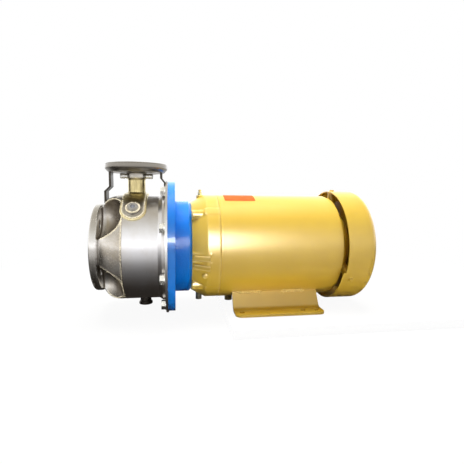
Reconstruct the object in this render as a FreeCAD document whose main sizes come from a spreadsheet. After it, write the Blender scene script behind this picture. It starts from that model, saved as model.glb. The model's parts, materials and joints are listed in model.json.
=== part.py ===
import FreeCAD, Part
import math
import os
import re
import Sketcher
from FreeCAD import Placement, Rotation, Vector

# A close-coupled end-suction centrifugal pump. The shaft runs along X, the suction
# flange looks to -X, the motor's fan is at +X and the discharge flange looks up.
# The origin is on the floor under the feet, in the middle of their outer bolt holes.

SIZES = {
    # feet of the motor, with the bolt pattern of a small close-coupled frame
    "shaft_height": 114.3,
    "foot_hole_reach": 69.85,
    "foot_hole_middle": 44.45,
    "foot_hole_side": 95.25,
    "foot_hole_radius": 5.16,
    "foot_end_margin": 12.7,
    "foot_side_margin": 16.5,
    "foot_corner": 12.0,
    "foot_plate": 4.5,
    "foot_bend_inset": 18.0,
    "foot_web_inset": 43.4,
    "foot_bend_round": 9.0,
    "weld_radius": 4.0,
    "weld_length": 49.0,
    "weld_rear_place": 11.0,
    "weld_front_place": 74.0,
    # stations along the shaft, each piece by its own length
    "frame_front": 108.1,
    "frame_rear": 111.9,
    "endbell_length": 50.7,
    "ring_length": 29.4,
    "flange_thickness": 12.6,
    "plate_thickness": 4.1,
    "skirt_length": 12.7,
    "drum_length": 59.9,
    "bell_length": 43.2,
    "suction_flange_thickness": 14.1,
    "outlet_setback": 55.3,
    # casing
    "casing_wall": 4.0,
    "drum_radius": 99.5,
    "skirt_radius": 104.2,
    "skirt_flare": 6.6,
    "plate_radius": 128.3,
    "bell_root": 78.0,
    "bell_run": 31.6,
    "suction_bore": 26.6,
    "suction_flange_radius": 82.5,
    "suction_hole_circle": 62.5,
    "suction_hole_radius": 9.0,
    "suction_hole_count": 4,
    "rim_round": 3.5,
    "head_back": 3.5,
    "eye_radius": 26.0,
    "scallop_radius": 44.0,
    "scallop_place": 90.0,
    "scallop_length": 40.7,
    "scallop_round": 32.0,
    "wear_ring_outer": 36.0,
    "wear_ring_length": 10.0,
    "wear_clearance": 0.3,
    # discharge
    "outlet_height": 157.0,
    "outlet_flange_radius": 57.5,
    "outlet_flange_thickness": 16.0,
    "outlet_flange_root": 51.5,
    "outlet_flange_edge": 9.5,
    "outlet_flange_round": 1.5,
    "outlet_bore": 13.3,
    "outlet_hole_circle": 42.5,
    "outlet_hole_radius": 7.0,
    "outlet_hole_count": 4,
    "collar_radius": 17.6,
    "collar_length": 12.5,
    "neck_radius": 16.1,
    "neck_round": 4.0,
    "saddle_half": 20.0,
    "saddle_rise": 4.0,
    "vent_angle": 44.0,
    "vent_boss_radius": 13.0,
    "vent_boss_rise": 9.0,
    "vent_thread": 6.5,
    "vent_head_radius": 8.8,
    "vent_head_height": 1.8,
    "vent_socket_radius": 4.6,
    "vent_socket_depth": 4.5,
    "gauge_radius": 5.2,
    "gauge_reach": 30.5,
    "gauge_drop": 6.2,
    "gauge_thread": 3.0,
    "gauge_depth": 3.2,
    # support straps between the discharge flange and the casing
    "strap_thickness": 4.0,
    "strap_half_width": 13.5,
    "strap_rear_place": 48.2,
    "strap_front_gap": 2.5,
    "strap_joggle_height": 114.5,
    "strap_joggle": 8.8,
    "strap_foot_overlap": 8.0,
    "strap_rear_foot": 112.0,
    "strap_rear_first_bend": 10.2,
    "strap_rear_second_bend": 19.0,
    "strap_rear_length": 29.0,
    # casing bolts
    "bolt_circle": 114.3,
    "bolt_count": 8,
    "bolt_radius": 5.0,
    "bolt_clearance": 0.5,
    "bolt_head_radius": 9.24,
    "bolt_head_height": 7.2,
    "washer_radius": 9.8,
    "washer_thickness": 2.2,
    "drain_place": 41.1,
    "drain_neck_radius": 10.4,
    "drain_height": 14.8,
    "drain_head_radius": 13.0,
    "drain_head_height": 4.0,
    "drain_flare": 4.0,
    "drain_round": 1.5,
    "drain_thread": 7.0,
    # adapter between the casing and the motor
    "adapter_radius": 125.5,
    "adapter_ring_radius": 88.6,
    "adapter_chamfer": 4.5,
    "adapter_cavity": 83.2,
    "adapter_back": 8.0,
    "spigot_radius": 57.15,
    "spigot_length": 4.0,
    "face_bolt_circle": 74.6,
    "face_bolt_count": 4,
    "face_bolt_radius": 4.76,
    "face_bolt_head": 7.9,
    "face_bolt_head_height": 6.0,
    "face_bolt_grip": 8.0,
    # seal plate and mechanical seal
    "seal_plate_radius": 104.0,
    "seal_plate_thickness": 5.0,
    "seal_hub_radius": 31.0,
    "seal_hub_length": 12.0,
    "o_ring_wire": 1.6,
    "seat_pocket_radius": 24.0,
    "seat_pocket_depth": 9.0,
    "seat_radius": 20.5,
    "seat_length": 8.0,
    "seal_gap": 0.3,
    "seal_head_radius": 21.5,
    "seal_head_length": 8.0,
    "spring_wire": 1.3,
    "spring_radius": 18.4,
    "slinger_radius": 25.0,
    "slinger_width": 5.0,
    "slinger_place": 22.0,
    # front end bell
    "endbell_face_radius": 86.0,
    "endbell_cone": 27.0,
    "endbell_wall": 8.5,
    "endbell_face": 9.0,
    "lip_seal_radius": 26.0,
    "lip_seal_length": 8.0,
    "hub_wall": 9.0,
    "grease_place": 18.8,
    "grease_boss_radius": 7.0,
    "grease_rise": 10.6,
    "grease_nut_height": 4.5,
    "grease_hex": 3.8,
    "grease_stem": 2.4,
    "grease_nipple": 3.1,
    "relief_place": 16.8,
    "relief_radius": 6.0,
    "relief_rise": 8.0,
    "corner_boss_radius": 9.0,
    "corner_boss_circle": 90.5,
    "corner_boss_length": 21.0,
    "band_half": 7.5,
    "band_gap": 1.6,
    "band_rise": 1.1,
    "rib_count": 3,
    "rib_first_angle": 92.0,
    "rib_step_angle": 9.0,
    "rib_thickness": 2.6,
    "rib_rise": 3.6,
    "rib_overrun": 6.0,
    "knob_angle": 116.0,
    "knob_radius": 4.0,
    "knob_place": 22.0,
    "knob_rise": 1.6,
    # motor
    "frame_radius": 100.4,
    "frame_wall": 4.4,
    "stator_bore": 62.0,
    "stator_front": 50.0,
    "stator_rear": 55.0,
    "winding_reach": 28.0,
    "winding_inner": 66.0,
    "winding_inset": 14.4,
    "air_gap": 0.4,
    "rotor_ring_length": 12.0,
    "rotor_ring_inner": 42.0,
    "tie_inset": 9.9,
    "tie_count": 4,
    "tie_radius": 3.2,
    "tie_head_radius": 6.6,
    "tie_head_height": 5.0,
    "tie_grip": 20.0,
    "frame_drain_place": 26.7,
    "frame_drain_radius": 7.5,
    "frame_drain_height": 11.6,
    "frame_drain_thread": 5.0,
    # rear end bell
    "rear_bell_inset": 2.4,
    "rear_bell_length": 34.0,
    "rear_bell_taper": 10.0,
    "rear_bell_wall": 7.0,
    "rear_bell_back": 6.0,
    "rear_shaft_hole": 14.0,
    "lug_radius": 8.0,
    "lug_count": 3,
    # bearings
    "front_bearing_outer": 36.0,
    "front_bearing_bore": 17.5,
    "front_bearing_width": 17.0,
    "front_ball": 5.5,
    "front_ball_count": 9,
    "rear_bearing_outer": 26.0,
    "rear_bearing_bore": 12.5,
    "rear_bearing_width": 15.0,
    "rear_ball": 4.0,
    "rear_ball_count": 9,
    "race_clearance": 0.05,
    "wave_spring": 1.6,
    # shaft
    "shaft_radius": 22.0,
    "seal_shaft_radius": 15.87,
    "impeller_shaft_radius": 11.1,
    "fan_shaft_radius": 11.5,
    "shaft_bolt_radius": 5.0,
    "shaft_bolt_depth": 24.0,
    # impeller
    "impeller_radius": 84.0,
    "impeller_neck": 30.0,
    "impeller_hub": 19.0,
    "impeller_hub_front": 13.5,
    "impeller_hub_length": 42.0,
    "shroud_thickness": 2.6,
    "impeller_width": 11.0,
    "impeller_axial_gap": 11.5,
    "vane_count": 6,
    "vane_thickness": 3.0,
    "vane_inner": 31.0,
    "vane_sweep": 62.0,
    "impeller_washer_radius": 14.5,
    "impeller_washer_thickness": 3.0,
    "impeller_bolt_head": 10.4,
    "impeller_bolt_height": 7.0,
    "key_half": 2.5,
    "key_length": 26.0,
    # fan and its cover
    "cover_gap": 12.4,
    "cover_length": 59.0,
    "cover_radius": 110.6,
    "cover_wall": 1.6,
    "cover_round": 17.0,
    "cover_lip": 6.0,
    "cover_lip_angle": 112.0,
    "cover_screw_place": 11.2,
    "cover_screw_radius": 2.6,
    "cover_screw_head": 5.2,
    "cover_screw_head_height": 3.2,
    "cover_screw_length": 12.0,
    "grille_inner": 18.0,
    "grille_slot": 9.0,
    "grille_web": 6.0,
    "grille_rings": 5,
    "grille_spokes": 6,
    "fan_radius": 90.0,
    "fan_gap": 4.0,
    "fan_plate": 2.5,
    "fan_depth": 20.0,
    "fan_hub": 20.0,
    "fan_blade_count": 8,
    "fan_blade": 2.2,
    "clamp_thickness": 2.5,
    "clamp_width": 8.0,
    # conduit box on the far side
    "box_half_length": 50.0,
    "box_half_height": 42.0,
    "box_reach": 150.0,
    "box_wall": 3.0,
    "box_corner": 8.0,
    "gasket_thickness": 1.5,
    "lid_thickness": 4.0,
    "lid_screw_inset": 9.0,
    "lid_screw_radius": 2.0,
    "lid_screw_grip": 8.0,
    "lid_screw_spare": 2.0,
    "lid_screw_head": 4.2,
    "lid_screw_head_height": 2.6,
    "lid_post": 5.0,
    "lead_radius": 13.0,
    "lead_bore": 9.0,
    "conduit_hole": 11.0,
}

doc = FreeCAD.newDocument("centrifugal_pump")
sheet = doc.addObject("Spreadsheet::Sheet", "sizes")
for row, (alias, size) in enumerate(SIZES.items(), 1):
    sheet.set("A%d" % row, alias)
    sheet.set("B%d" % row, str(size))
    sheet.setAlias("B%d" % row, alias)
doc.recompute()

nodes = {}


# Expressions and outlines

def bound(text):
    """The same expression with each size read from the sheet."""
    return re.sub(r"[a-z_]+", lambda word: "sizes." + word[0] if word[0] in SIZES else word[0], str(text))


def value(text):
    return float(sheet.evalExpression(bound(text)))


def count(alias):
    return int(round(value(alias)))


def bind(thing, prop, text):
    thing.setExpression(prop, bound(text))


def origin_plane(body, role):
    return [part for part in body.Origin.OriginFeatures if part.Role == role][0]


def arc_centre(start, end, radius, turn):
    """Centre of the short arc from start to end, turning left (1) or right (-1)."""
    dx = end[0] - start[0]
    dy = end[1] - start[1]
    chord = math.hypot(dx, dy)
    rise = math.sqrt(max(radius ** 2 - (chord / 2) ** 2, 0)) * turn
    return Vector((start[0] + end[0]) / 2 - dy / chord * rise, (start[1] + end[1]) / 2 + dx / chord * rise, 0)


def sketch(body, role, outline):
    """A fully constrained closed outline on one of the body's planes.

    Each point is (x, y), reached by a line, or (x, y, radius, turn), reached by an arc.
    """
    shape = body.newObject("Sketcher::SketchObject", body.Name + "_sketch")
    shape.AttachmentSupport = [(origin_plane(body, role), "")]
    shape.MapMode = "FlatFace"
    places = [(value(point[0]), value(point[1])) for point in outline]
    ends = []
    for index, start in enumerate(places):
        target = outline[(index + 1) % len(outline)]
        end = places[(index + 1) % len(outline)]
        if len(target) == 2:
            line = Part.LineSegment(Vector(start[0], start[1], 0), Vector(end[0], end[1], 0))
            shape.addGeometry(line, False)
            ends.append((1, 2))
            continue
        radius = value(target[2])
        centre = arc_centre(start, end, radius, target[3])
        first, last = (start, end) if target[3] > 0 else (end, start)
        angles = [math.atan2(spot[1] - centre.y, spot[0] - centre.x) for spot in (first, last)]
        if angles[1] < angles[0]:
            angles[1] += 2 * math.pi
        circle = Part.Circle(centre, Vector(0, 0, 1), radius)
        shape.addGeometry(Part.ArcOfCircle(circle, angles[0], angles[1]), False)
        ends.append((1, 2) if target[3] > 0 else (2, 1))
    for index in range(len(outline)):
        following = (index + 1) % len(outline)
        joint = Sketcher.Constraint("Coincident", index, ends[index][1], following, ends[following][0])
        shape.addConstraint(joint)
    for index, point in enumerate(outline):
        for kind, part in (("DistanceX", 0), ("DistanceY", 1)):
            rule = Sketcher.Constraint(kind, -1, 1, index, ends[index][0], places[index][part])
            bind(shape, "Constraints[%d]" % shape.addConstraint(rule), point[part])
        target = outline[(index + 1) % len(outline)]
        if len(target) == 4:
            rule = Sketcher.Constraint("Radius", index, value(target[2]))
            bind(shape, "Constraints[%d]" % shape.addConstraint(rule), target[2])
    return shape


def turned(name, outline, height="shaft_height"):
    """A body revolved about the shaft axis. The outline gives x and radius."""
    body = doc.addObject("PartDesign::Body", name)
    profile = sketch(body, "XZ_Plane", outline)
    spun = body.newObject("PartDesign::Revolution", name + "_turn")
    spun.Profile = profile
    spun.ReferenceAxis = (profile, ["H_Axis"])
    spun.Angle = 360
    bind(body, "Placement.Base.z", height)
    return body


def upright(name, outline, x, z):
    """A body revolved about a vertical axis at x. The outline gives radius and height."""
    body = doc.addObject("PartDesign::Body", name)
    profile = sketch(body, "XZ_Plane", outline)
    spun = body.newObject("PartDesign::Revolution", name + "_turn")
    spun.Profile = profile
    spun.ReferenceAxis = (profile, ["V_Axis"])
    spun.Angle = 360
    bind(body, "Placement.Base.x", x)
    bind(body, "Placement.Base.z", z)
    return body


def pad(name, role, outline, length, middle=True):
    """A body padded from an outline, evenly to both sides of its plane or to one."""
    body = doc.addObject("PartDesign::Body", name)
    profile = sketch(body, role, outline)
    block = body.newObject("PartDesign::Pad", name + "_pad")
    block.Profile = profile
    block.SideType = "Symmetric" if middle else "One side"
    bind(block, "Length", length)
    return body


# Primitives

def place(thing, x, y, z, turn=None):
    thing.Placement = Placement(Vector(0, 0, 0), turn or Rotation())
    for axis, text in zip("xyz", (x, y, z)):
        bind(thing, "Placement.Base." + axis, text)
    return thing


ALONG = Rotation(Vector(0, 0, 1), Vector(1, 0, 0))
ACROSS = Rotation(Vector(0, 0, 1), Vector(0, 1, 0))


def around(distance, angle):
    """Y and Z at a distance from the shaft, the angle taken from the top to the near side."""
    return "-(%s) * sin(%s)" % (distance, angle), "shaft_height + (%s) * cos(%s)" % (distance, angle)


def cylinder(name, radius, length):
    rod = doc.addObject("Part::Cylinder", name)
    bind(rod, "Radius", radius)
    bind(rod, "Height", length)
    return rod


def axial(name, x, length, radius, distance="0", angle="0"):
    """A round bar along the shaft."""
    y, z = around(distance, angle)
    return place(cylinder(name, radius, length), x, y, z, ALONG)


def axial_hex(name, x, length, corner, distance="0", angle="0"):
    head = doc.addObject("Part::Prism", name)
    head.Polygon = 6
    bind(head, "Circumradius", corner)
    bind(head, "Height", length)
    y, z = around(distance, angle)
    return place(head, x, y, z, ALONG)


def radial(name, x, inner, outer, radius, angle):
    """A round bar pointing away from the shaft, from one distance to another."""
    rod = cylinder(name, radius, "(%s) - (%s)" % (outer, inner))
    y, z = around(inner, angle)
    return place(rod, x, y, z, Rotation(Vector(1, 0, 0), value(angle)))


def radial_hex(name, x, inner, outer, corner, angle):
    head = doc.addObject("Part::Prism", name)
    head.Polygon = 6
    bind(head, "Circumradius", corner)
    bind(head, "Height", "(%s) - (%s)" % (outer, inner))
    y, z = around(inner, angle)
    return place(head, x, y, z, Rotation(Vector(1, 0, 0), value(angle)))


def block(name, x, y, z, length, width, height):
    box = doc.addObject("Part::Box", name)
    bind(box, "Length", length)
    bind(box, "Width", width)
    bind(box, "Height", height)
    return place(box, x, y, z)


def fused(name, *pieces):
    result = doc.addObject("Part::MultiFuse", name)
    result.Shapes = list(pieces)
    return result


def cut(name, base, *tools):
    result = doc.addObject("Part::Cut", name)
    result.Base = base
    result.Tool = tools[0] if len(tools) == 1 else fused(name + "_tools", *tools)
    return result


def common(name, *pieces):
    result = doc.addObject("Part::MultiCommon", name)
    result.Shapes = list(pieces)
    return result


def group(name, pieces):
    """Separate solids of one kind, kept together."""
    result = doc.addObject("Part::Compound", name)
    result.Links = list(pieces)
    return result


def rounded(name, base, radius, picks):
    """A fillet on the edges that the test picks."""
    doc.recompute()
    result = doc.addObject("Part::Fillet", name)
    result.Base = base
    size = value(radius)
    result.Edges = [(i, size, size) for i, edge in enumerate(base.Shape.Edges, 1) if picks(edge)]
    return result


def node(name, thing):
    thing.Label = name
    nodes[name] = thing
    return thing


def circle_angles(number, straddle=False):
    """Even angles round the shaft, the first at the top or half a step past it."""
    first = 180.0 / number if straddle else 0.0
    return ["%.4f" % (first + 360.0 * step / number) for step in range(number)]


# Stations along the shaft, from the motor forward

FRAME_X = "(-frame_front)"
ENDBELL_X = "(-frame_front - endbell_length)"
ADAPTER_RING_X = "(-frame_front - endbell_length - ring_length)"
FLANGE_X = ADAPTER_RING_X[:-1] + " - flange_thickness)"
PLATE_X = FLANGE_X[:-1] + " - plate_thickness)"
DRUM_REAR_X = PLATE_X[:-1] + " - skirt_length)"
SEAM_X = DRUM_REAR_X[:-1] + " - drum_length)"
HEAD_FRONT_X = SEAM_X[:-1] + " - bell_length)"
SUCTION_X = HEAD_FRONT_X[:-1] + " - suction_flange_thickness)"
OUTLET_X = PLATE_X[:-1] + " - outlet_setback)"
CHAMBER_X = SEAM_X[:-1] + " + head_back)"
SHELL_BORE = "(drum_radius - casing_wall)"


def suction_head():
    bell_rise = "(drum_radius - bell_root)"
    bell_arc = "(bell_run^2 + %s^2) / (2 * %s)" % (bell_rise, bell_rise)
    blank = turned("suction_blank", [
        (SUCTION_X, "suction_bore"),
        (SUCTION_X, "suction_flange_radius - rim_round"),
        (SUCTION_X + " + rim_round", "suction_flange_radius", "rim_round", -1),
        (HEAD_FRONT_X + " - rim_round", "suction_flange_radius"),
        (HEAD_FRONT_X, "suction_flange_radius - rim_round", "rim_round", -1),
        (HEAD_FRONT_X, "bell_root"),
        (HEAD_FRONT_X + " + bell_run", "drum_radius", bell_arc, -1),
        (SEAM_X, "drum_radius"),
        (SEAM_X, SHELL_BORE),
        (CHAMBER_X, SHELL_BORE),
        (CHAMBER_X, "wear_ring_outer"),
        (CHAMBER_X + " - wear_ring_length", "wear_ring_outer"),
        (CHAMBER_X + " - wear_ring_length", "impeller_neck"),
        (CHAMBER_X + " - 2 * wear_ring_length", "suction_bore"),
    ])
    cutters = []
    for angle in circle_angles(count("suction_hole_count"), straddle=True):
        pocket = axial("scallop", HEAD_FRONT_X, "scallop_length", "scallop_radius", "scallop_place", angle)
        far = value(HEAD_FRONT_X + " + scallop_length")
        cutters.append(rounded("scallop_rounded", pocket, "scallop_round",
                               lambda edge: abs(edge.BoundBox.XMin - far) < 0.01 and edge.Closed))
        cutters.append(axial("suction_hole", SUCTION_X, "suction_flange_thickness",
                             "suction_hole_radius", "suction_hole_circle", angle))
    return node("suction_head", cut("suction_head", blank, *cutters))


def casing_shell():
    blank = turned("shell_blank", [
        (SEAM_X, SHELL_BORE),
        (SEAM_X, "drum_radius"),
        (DRUM_REAR_X, "drum_radius"),
        (DRUM_REAR_X + " + skirt_flare", "skirt_radius"),
        (FLANGE_X, "skirt_radius"),
        (FLANGE_X, SHELL_BORE),
    ])
    middle = "0.5 * drum_radius"
    outside = "drum_radius + saddle_rise"
    cutters = [
        radial("outlet_port", OUTLET_X, middle, outside, "outlet_bore", "0"),
        radial("vent_port", OUTLET_X, middle, outside, "vent_thread", "vent_angle"),
        radial("drain_port", PLATE_X + " - drain_place", middle, "skirt_radius", "drain_thread", "180"),
    ]
    return node("casing_shell", cut("casing_shell", blank, *cutters))


def casing_flange():
    """The thin ring welded round the open end of the drum, with the bolt holes."""
    ring = turned("flange_ring", [
        (PLATE_X, "skirt_radius"),
        (PLATE_X, "plate_radius"),
        (FLANGE_X, "plate_radius"),
        (FLANGE_X, "skirt_radius"),
    ])
    holes = [axial("casing_hole", PLATE_X, "plate_thickness", "bolt_radius + bolt_clearance",
                   "bolt_circle", angle)
             for angle in circle_angles(count("bolt_count"), straddle=True)]
    return node("casing_flange", cut("casing_flange", ring, *holes))


def wear_ring():
    bore = "impeller_neck + wear_clearance"
    return node("wear_ring", turned("wear_ring", [
        (CHAMBER_X + " - wear_ring_length", bore),
        (CHAMBER_X + " - wear_ring_length", "wear_ring_outer"),
        (CHAMBER_X, "wear_ring_outer"),
        (CHAMBER_X, bore),
    ]))


def discharge_nozzle():
    top = "outlet_height"
    under = "outlet_height - outlet_flange_thickness"
    rise = "drum_radius + saddle_rise"
    foot = "sqrt((%s)^2 - (neck_radius + neck_round)^2)" % rise
    neck = upright("discharge_neck", [
        ("outlet_bore", "0.9 * drum_radius"),
        ("neck_radius + neck_round", "0.9 * drum_radius"),
        ("neck_radius + neck_round", foot),
        ("neck_radius", foot + " + neck_round", "neck_round", -1),
        ("neck_radius", under + " - collar_length"),
        ("collar_radius", under + " - collar_length + (collar_radius - neck_radius)"),
        ("collar_radius", under),
        ("outlet_flange_root", under),
        ("outlet_flange_radius", top + " - outlet_flange_edge"),
        ("outlet_flange_radius", top + " - outlet_flange_round"),
        ("outlet_flange_radius - outlet_flange_round", top, "outlet_flange_round", 1),
        ("outlet_bore", top),
    ], OUTLET_X, "shaft_height")
    skin = axial("saddle_skin", OUTLET_X + " - saddle_half", "2 * saddle_half", rise)
    reach = "drum_radius * tan(vent_angle / 2)"
    wedge = block("saddle_wedge", "0", "0", "0", "2 * saddle_half", "2 * (%s)" % reach, "drum_radius")
    wedge_y, wedge_z = around("drum_radius", "vent_angle / 2")
    place(wedge, OUTLET_X + " - saddle_half",
          "(%s) - (%s) * cos(vent_angle / 2) + drum_radius / 2 * sin(vent_angle / 2)" % (wedge_y, reach),
          "(%s) - (%s) * sin(vent_angle / 2) - drum_radius / 2 * cos(vent_angle / 2)" % (wedge_z, reach),
          Rotation(Vector(1, 0, 0), value("vent_angle / 2")))
    ends = [radial("saddle_end", OUTLET_X, "0.8 * drum_radius", rise + " + 1", "saddle_half", angle)
            for angle in ("0", "vent_angle")]
    saddle = common("saddle", skin, fused("saddle_plan", wedge, *ends))
    boss = radial("vent_boss", OUTLET_X, "0.8 * drum_radius", "drum_radius + vent_boss_rise",
                  "vent_boss_radius", "vent_angle")
    cutters = [
        axial("saddle_bed", HEAD_FRONT_X, "bell_length + drum_length + skirt_length", "drum_radius"),
        radial("nozzle_bore", OUTLET_X, "0.5 * drum_radius", "outlet_height + 1", "outlet_bore", "0"),
        radial("vent_bore", OUTLET_X, "0.5 * drum_radius", "drum_radius + vent_boss_rise + 1", "vent_thread",
               "vent_angle"),
    ]
    for angle in circle_angles(count("outlet_hole_count"), straddle=True):
        hole = cylinder("outlet_hole", "outlet_hole_radius", "outlet_flange_thickness + 2")
        cutters.append(place(hole, OUTLET_X + " + outlet_hole_circle * cos(%s)" % angle,
                             "outlet_hole_circle * sin(%s)" % angle,
                             "shaft_height + outlet_height - outlet_flange_thickness - 1"))
    for side in (-1, 1):
        cutters.append(place(cylinder("gauge_tap", "gauge_thread", "gauge_depth"),
                             OUTLET_X + " + (%d) * (collar_radius - gauge_depth)" % side, "0",
                             "shaft_height + outlet_height - outlet_flange_thickness - gauge_drop",
                             Rotation(Vector(0, 0, 1), Vector(side, 0, 0))))
    body = fused("nozzle_blank", neck, saddle, boss)
    return node("discharge_nozzle", cut("discharge_nozzle", body, *cutters))


def gauge_plugs():
    plugs = []
    height = "shaft_height + outlet_height - outlet_flange_thickness - gauge_drop"
    for side in (-1, 1):
        turn = Rotation(Vector(0, 0, 1), Vector(side, 0, 0))
        shank = place(cylinder("gauge_shank", "gauge_thread", "gauge_depth"),
                      OUTLET_X + " + (%d) * (collar_radius - gauge_depth)" % side, "0", height, turn)
        head = place(cylinder("gauge_head", "gauge_radius", "gauge_reach - 0.9 * collar_radius"),
                     OUTLET_X + " + (%d) * 0.9 * collar_radius" % side, "0", height, turn)
        collar = cylinder("gauge_collar", "collar_radius", "outlet_height - drum_radius")
        place(collar, OUTLET_X, "0", "shaft_height + drum_radius")
        plugs.append(fused("gauge_plug", shank, cut("gauge_seated", head, collar)))
    return node("gauge_plugs", group("gauge_plugs", plugs))


def vent_plug():
    top = "drum_radius + vent_boss_rise"
    shank = radial("vent_shank", OUTLET_X, "drum_radius - casing_wall", top, "vent_thread", "vent_angle")
    rim = top + " + vent_head_height"
    head = radial("vent_head", OUTLET_X, top, rim, "vent_head_radius", "vent_angle")
    socket = radial_hex("vent_socket", OUTLET_X, rim + " - vent_socket_depth", rim, "vent_socket_radius",
                        "vent_angle")
    return node("vent_plug", cut("vent_plug", fused("vent_body", shank, head), socket))


def casing_drain_plug():
    """A turned plug under the drum, its neck flaring into a flat round foot."""
    x = PLATE_X + " - drain_place"
    low = "(-drum_radius - drain_height)"
    neck = upright("drain_outer", [
        ("0", low),
        ("drain_head_radius - drain_round", low),
        ("drain_head_radius", low + " + drain_round", "drain_round", 1),
        ("drain_head_radius", low + " + drain_head_height"),
        ("drain_neck_radius", low + " + drain_head_height + drain_flare"),
        ("drain_neck_radius", "-0.9 * drum_radius"),
        ("0", "-0.9 * drum_radius"),
    ], x, "shaft_height")
    shank = radial("drain_shank", x, SHELL_BORE, "drum_radius", "drain_thread", "180")
    bed = axial("drain_bed", SEAM_X, "drum_length", "drum_radius")
    return node("casing_drain_plug", fused("casing_drain_plug", shank, cut("drain_seated", neck, bed)))


def discharge_supports(head):
    """Two joggled straps that tie the discharge flange to the casing."""
    top = "outlet_height - outlet_flange_thickness"
    foot = HEAD_FRONT_X + " + strap_front_gap"
    first = foot + " + strap_joggle"
    low = "bell_root - strap_foot_overlap"
    bend = "strap_joggle_height - strap_joggle"
    front = pad("strap_front", "XZ_Plane", [
        (foot, low),
        (foot + " + strap_thickness", low),
        (foot + " + strap_thickness", bend),
        (first + " + strap_thickness", "strap_joggle_height"),
        (first + " + strap_thickness", top),
        (first, top),
        (first, "strap_joggle_height"),
        (foot, bend),
    ], "2 * strap_half_width")
    bind(front, "Placement.Base.z", "shaft_height")
    node("discharge_support_front", cut("discharge_support_front", front, head))
    back = OUTLET_X + " + strap_rear_place"
    share = "(%s - strap_rear_foot) / strap_rear_length" % top
    first_bend = "strap_rear_foot + strap_rear_first_bend * " + share
    second_bend = "strap_rear_foot + strap_rear_second_bend * " + share
    rear = pad("strap_rear", "XZ_Plane", [
        (PLATE_X + " - strap_thickness", "strap_rear_foot"),
        (PLATE_X, "strap_rear_foot"),
        (PLATE_X, first_bend),
        (back, second_bend),
        (back, top),
        (back + " - strap_thickness", top),
        (back + " - strap_thickness", second_bend),
        (PLATE_X + " - strap_thickness", first_bend),
    ], "2 * strap_half_width")
    bind(rear, "Placement.Base.z", "shaft_height")
    node("discharge_support_rear", rear)


def casing_fasteners():
    bolts = []
    washers = []
    for angle in circle_angles(count("bolt_count"), straddle=True):
        seat = PLATE_X + " - washer_thickness"
        head = axial_hex("bolt_head", seat + " - bolt_head_height", "bolt_head_height",
                         "bolt_head_radius", "bolt_circle", angle)
        shank = axial("bolt_shank", seat, "washer_thickness + plate_thickness + flange_thickness",
                      "bolt_radius", "bolt_circle", angle)
        bolts.append(fused("casing_bolt", head, shank))
        disc = axial("washer_disc", seat, "washer_thickness", "washer_radius", "bolt_circle", angle)
        washers.append(cut("casing_washer", disc, shank))
    node("casing_bolts", group("casing_bolts", bolts))
    node("casing_washers", group("casing_washers", washers))


def adapter():
    floor = FLANGE_X + " + seal_plate_thickness"
    blank = turned("adapter_blank", [
        (FLANGE_X, "seal_plate_radius"),
        (FLANGE_X, "adapter_radius"),
        (ADAPTER_RING_X, "adapter_radius"),
        (ADAPTER_RING_X, "adapter_ring_radius"),
        (ENDBELL_X + " - adapter_chamfer", "adapter_ring_radius"),
        (ENDBELL_X, "adapter_ring_radius - adapter_chamfer"),
        (ENDBELL_X, "spigot_radius"),
        (ENDBELL_X + " - adapter_back", "spigot_radius"),
        (ENDBELL_X + " - adapter_back", "adapter_cavity"),
        (floor, "adapter_cavity"),
        (floor, "seal_plate_radius"),
    ])
    cutters = [axial("tapped_hole", FLANGE_X, "flange_thickness", "bolt_radius", "bolt_circle", angle)
               for angle in circle_angles(count("bolt_count"), straddle=True)]
    cutters += [axial("face_hole", ENDBELL_X + " - adapter_back", "adapter_back", "face_bolt_radius",
                      "face_bolt_circle", angle)
                for angle in circle_angles(count("face_bolt_count"), straddle=True)]
    return node("adapter", cut("adapter", blank, *cutters))


def face_bolts():
    bolts = []
    for angle in circle_angles(count("face_bolt_count"), straddle=True):
        seat = ENDBELL_X + " - adapter_back"
        head = axial_hex("face_head", seat + " - face_bolt_head_height", "face_bolt_head_height",
                         "face_bolt_head", "face_bolt_circle", angle)
        shank = axial("face_shank", seat, "adapter_back + face_bolt_grip", "face_bolt_radius",
                      "face_bolt_circle", angle)
        bolts.append(fused("face_bolt", head, shank))
    return node("adapter_bolts", group("adapter_bolts", bolts))


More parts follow.
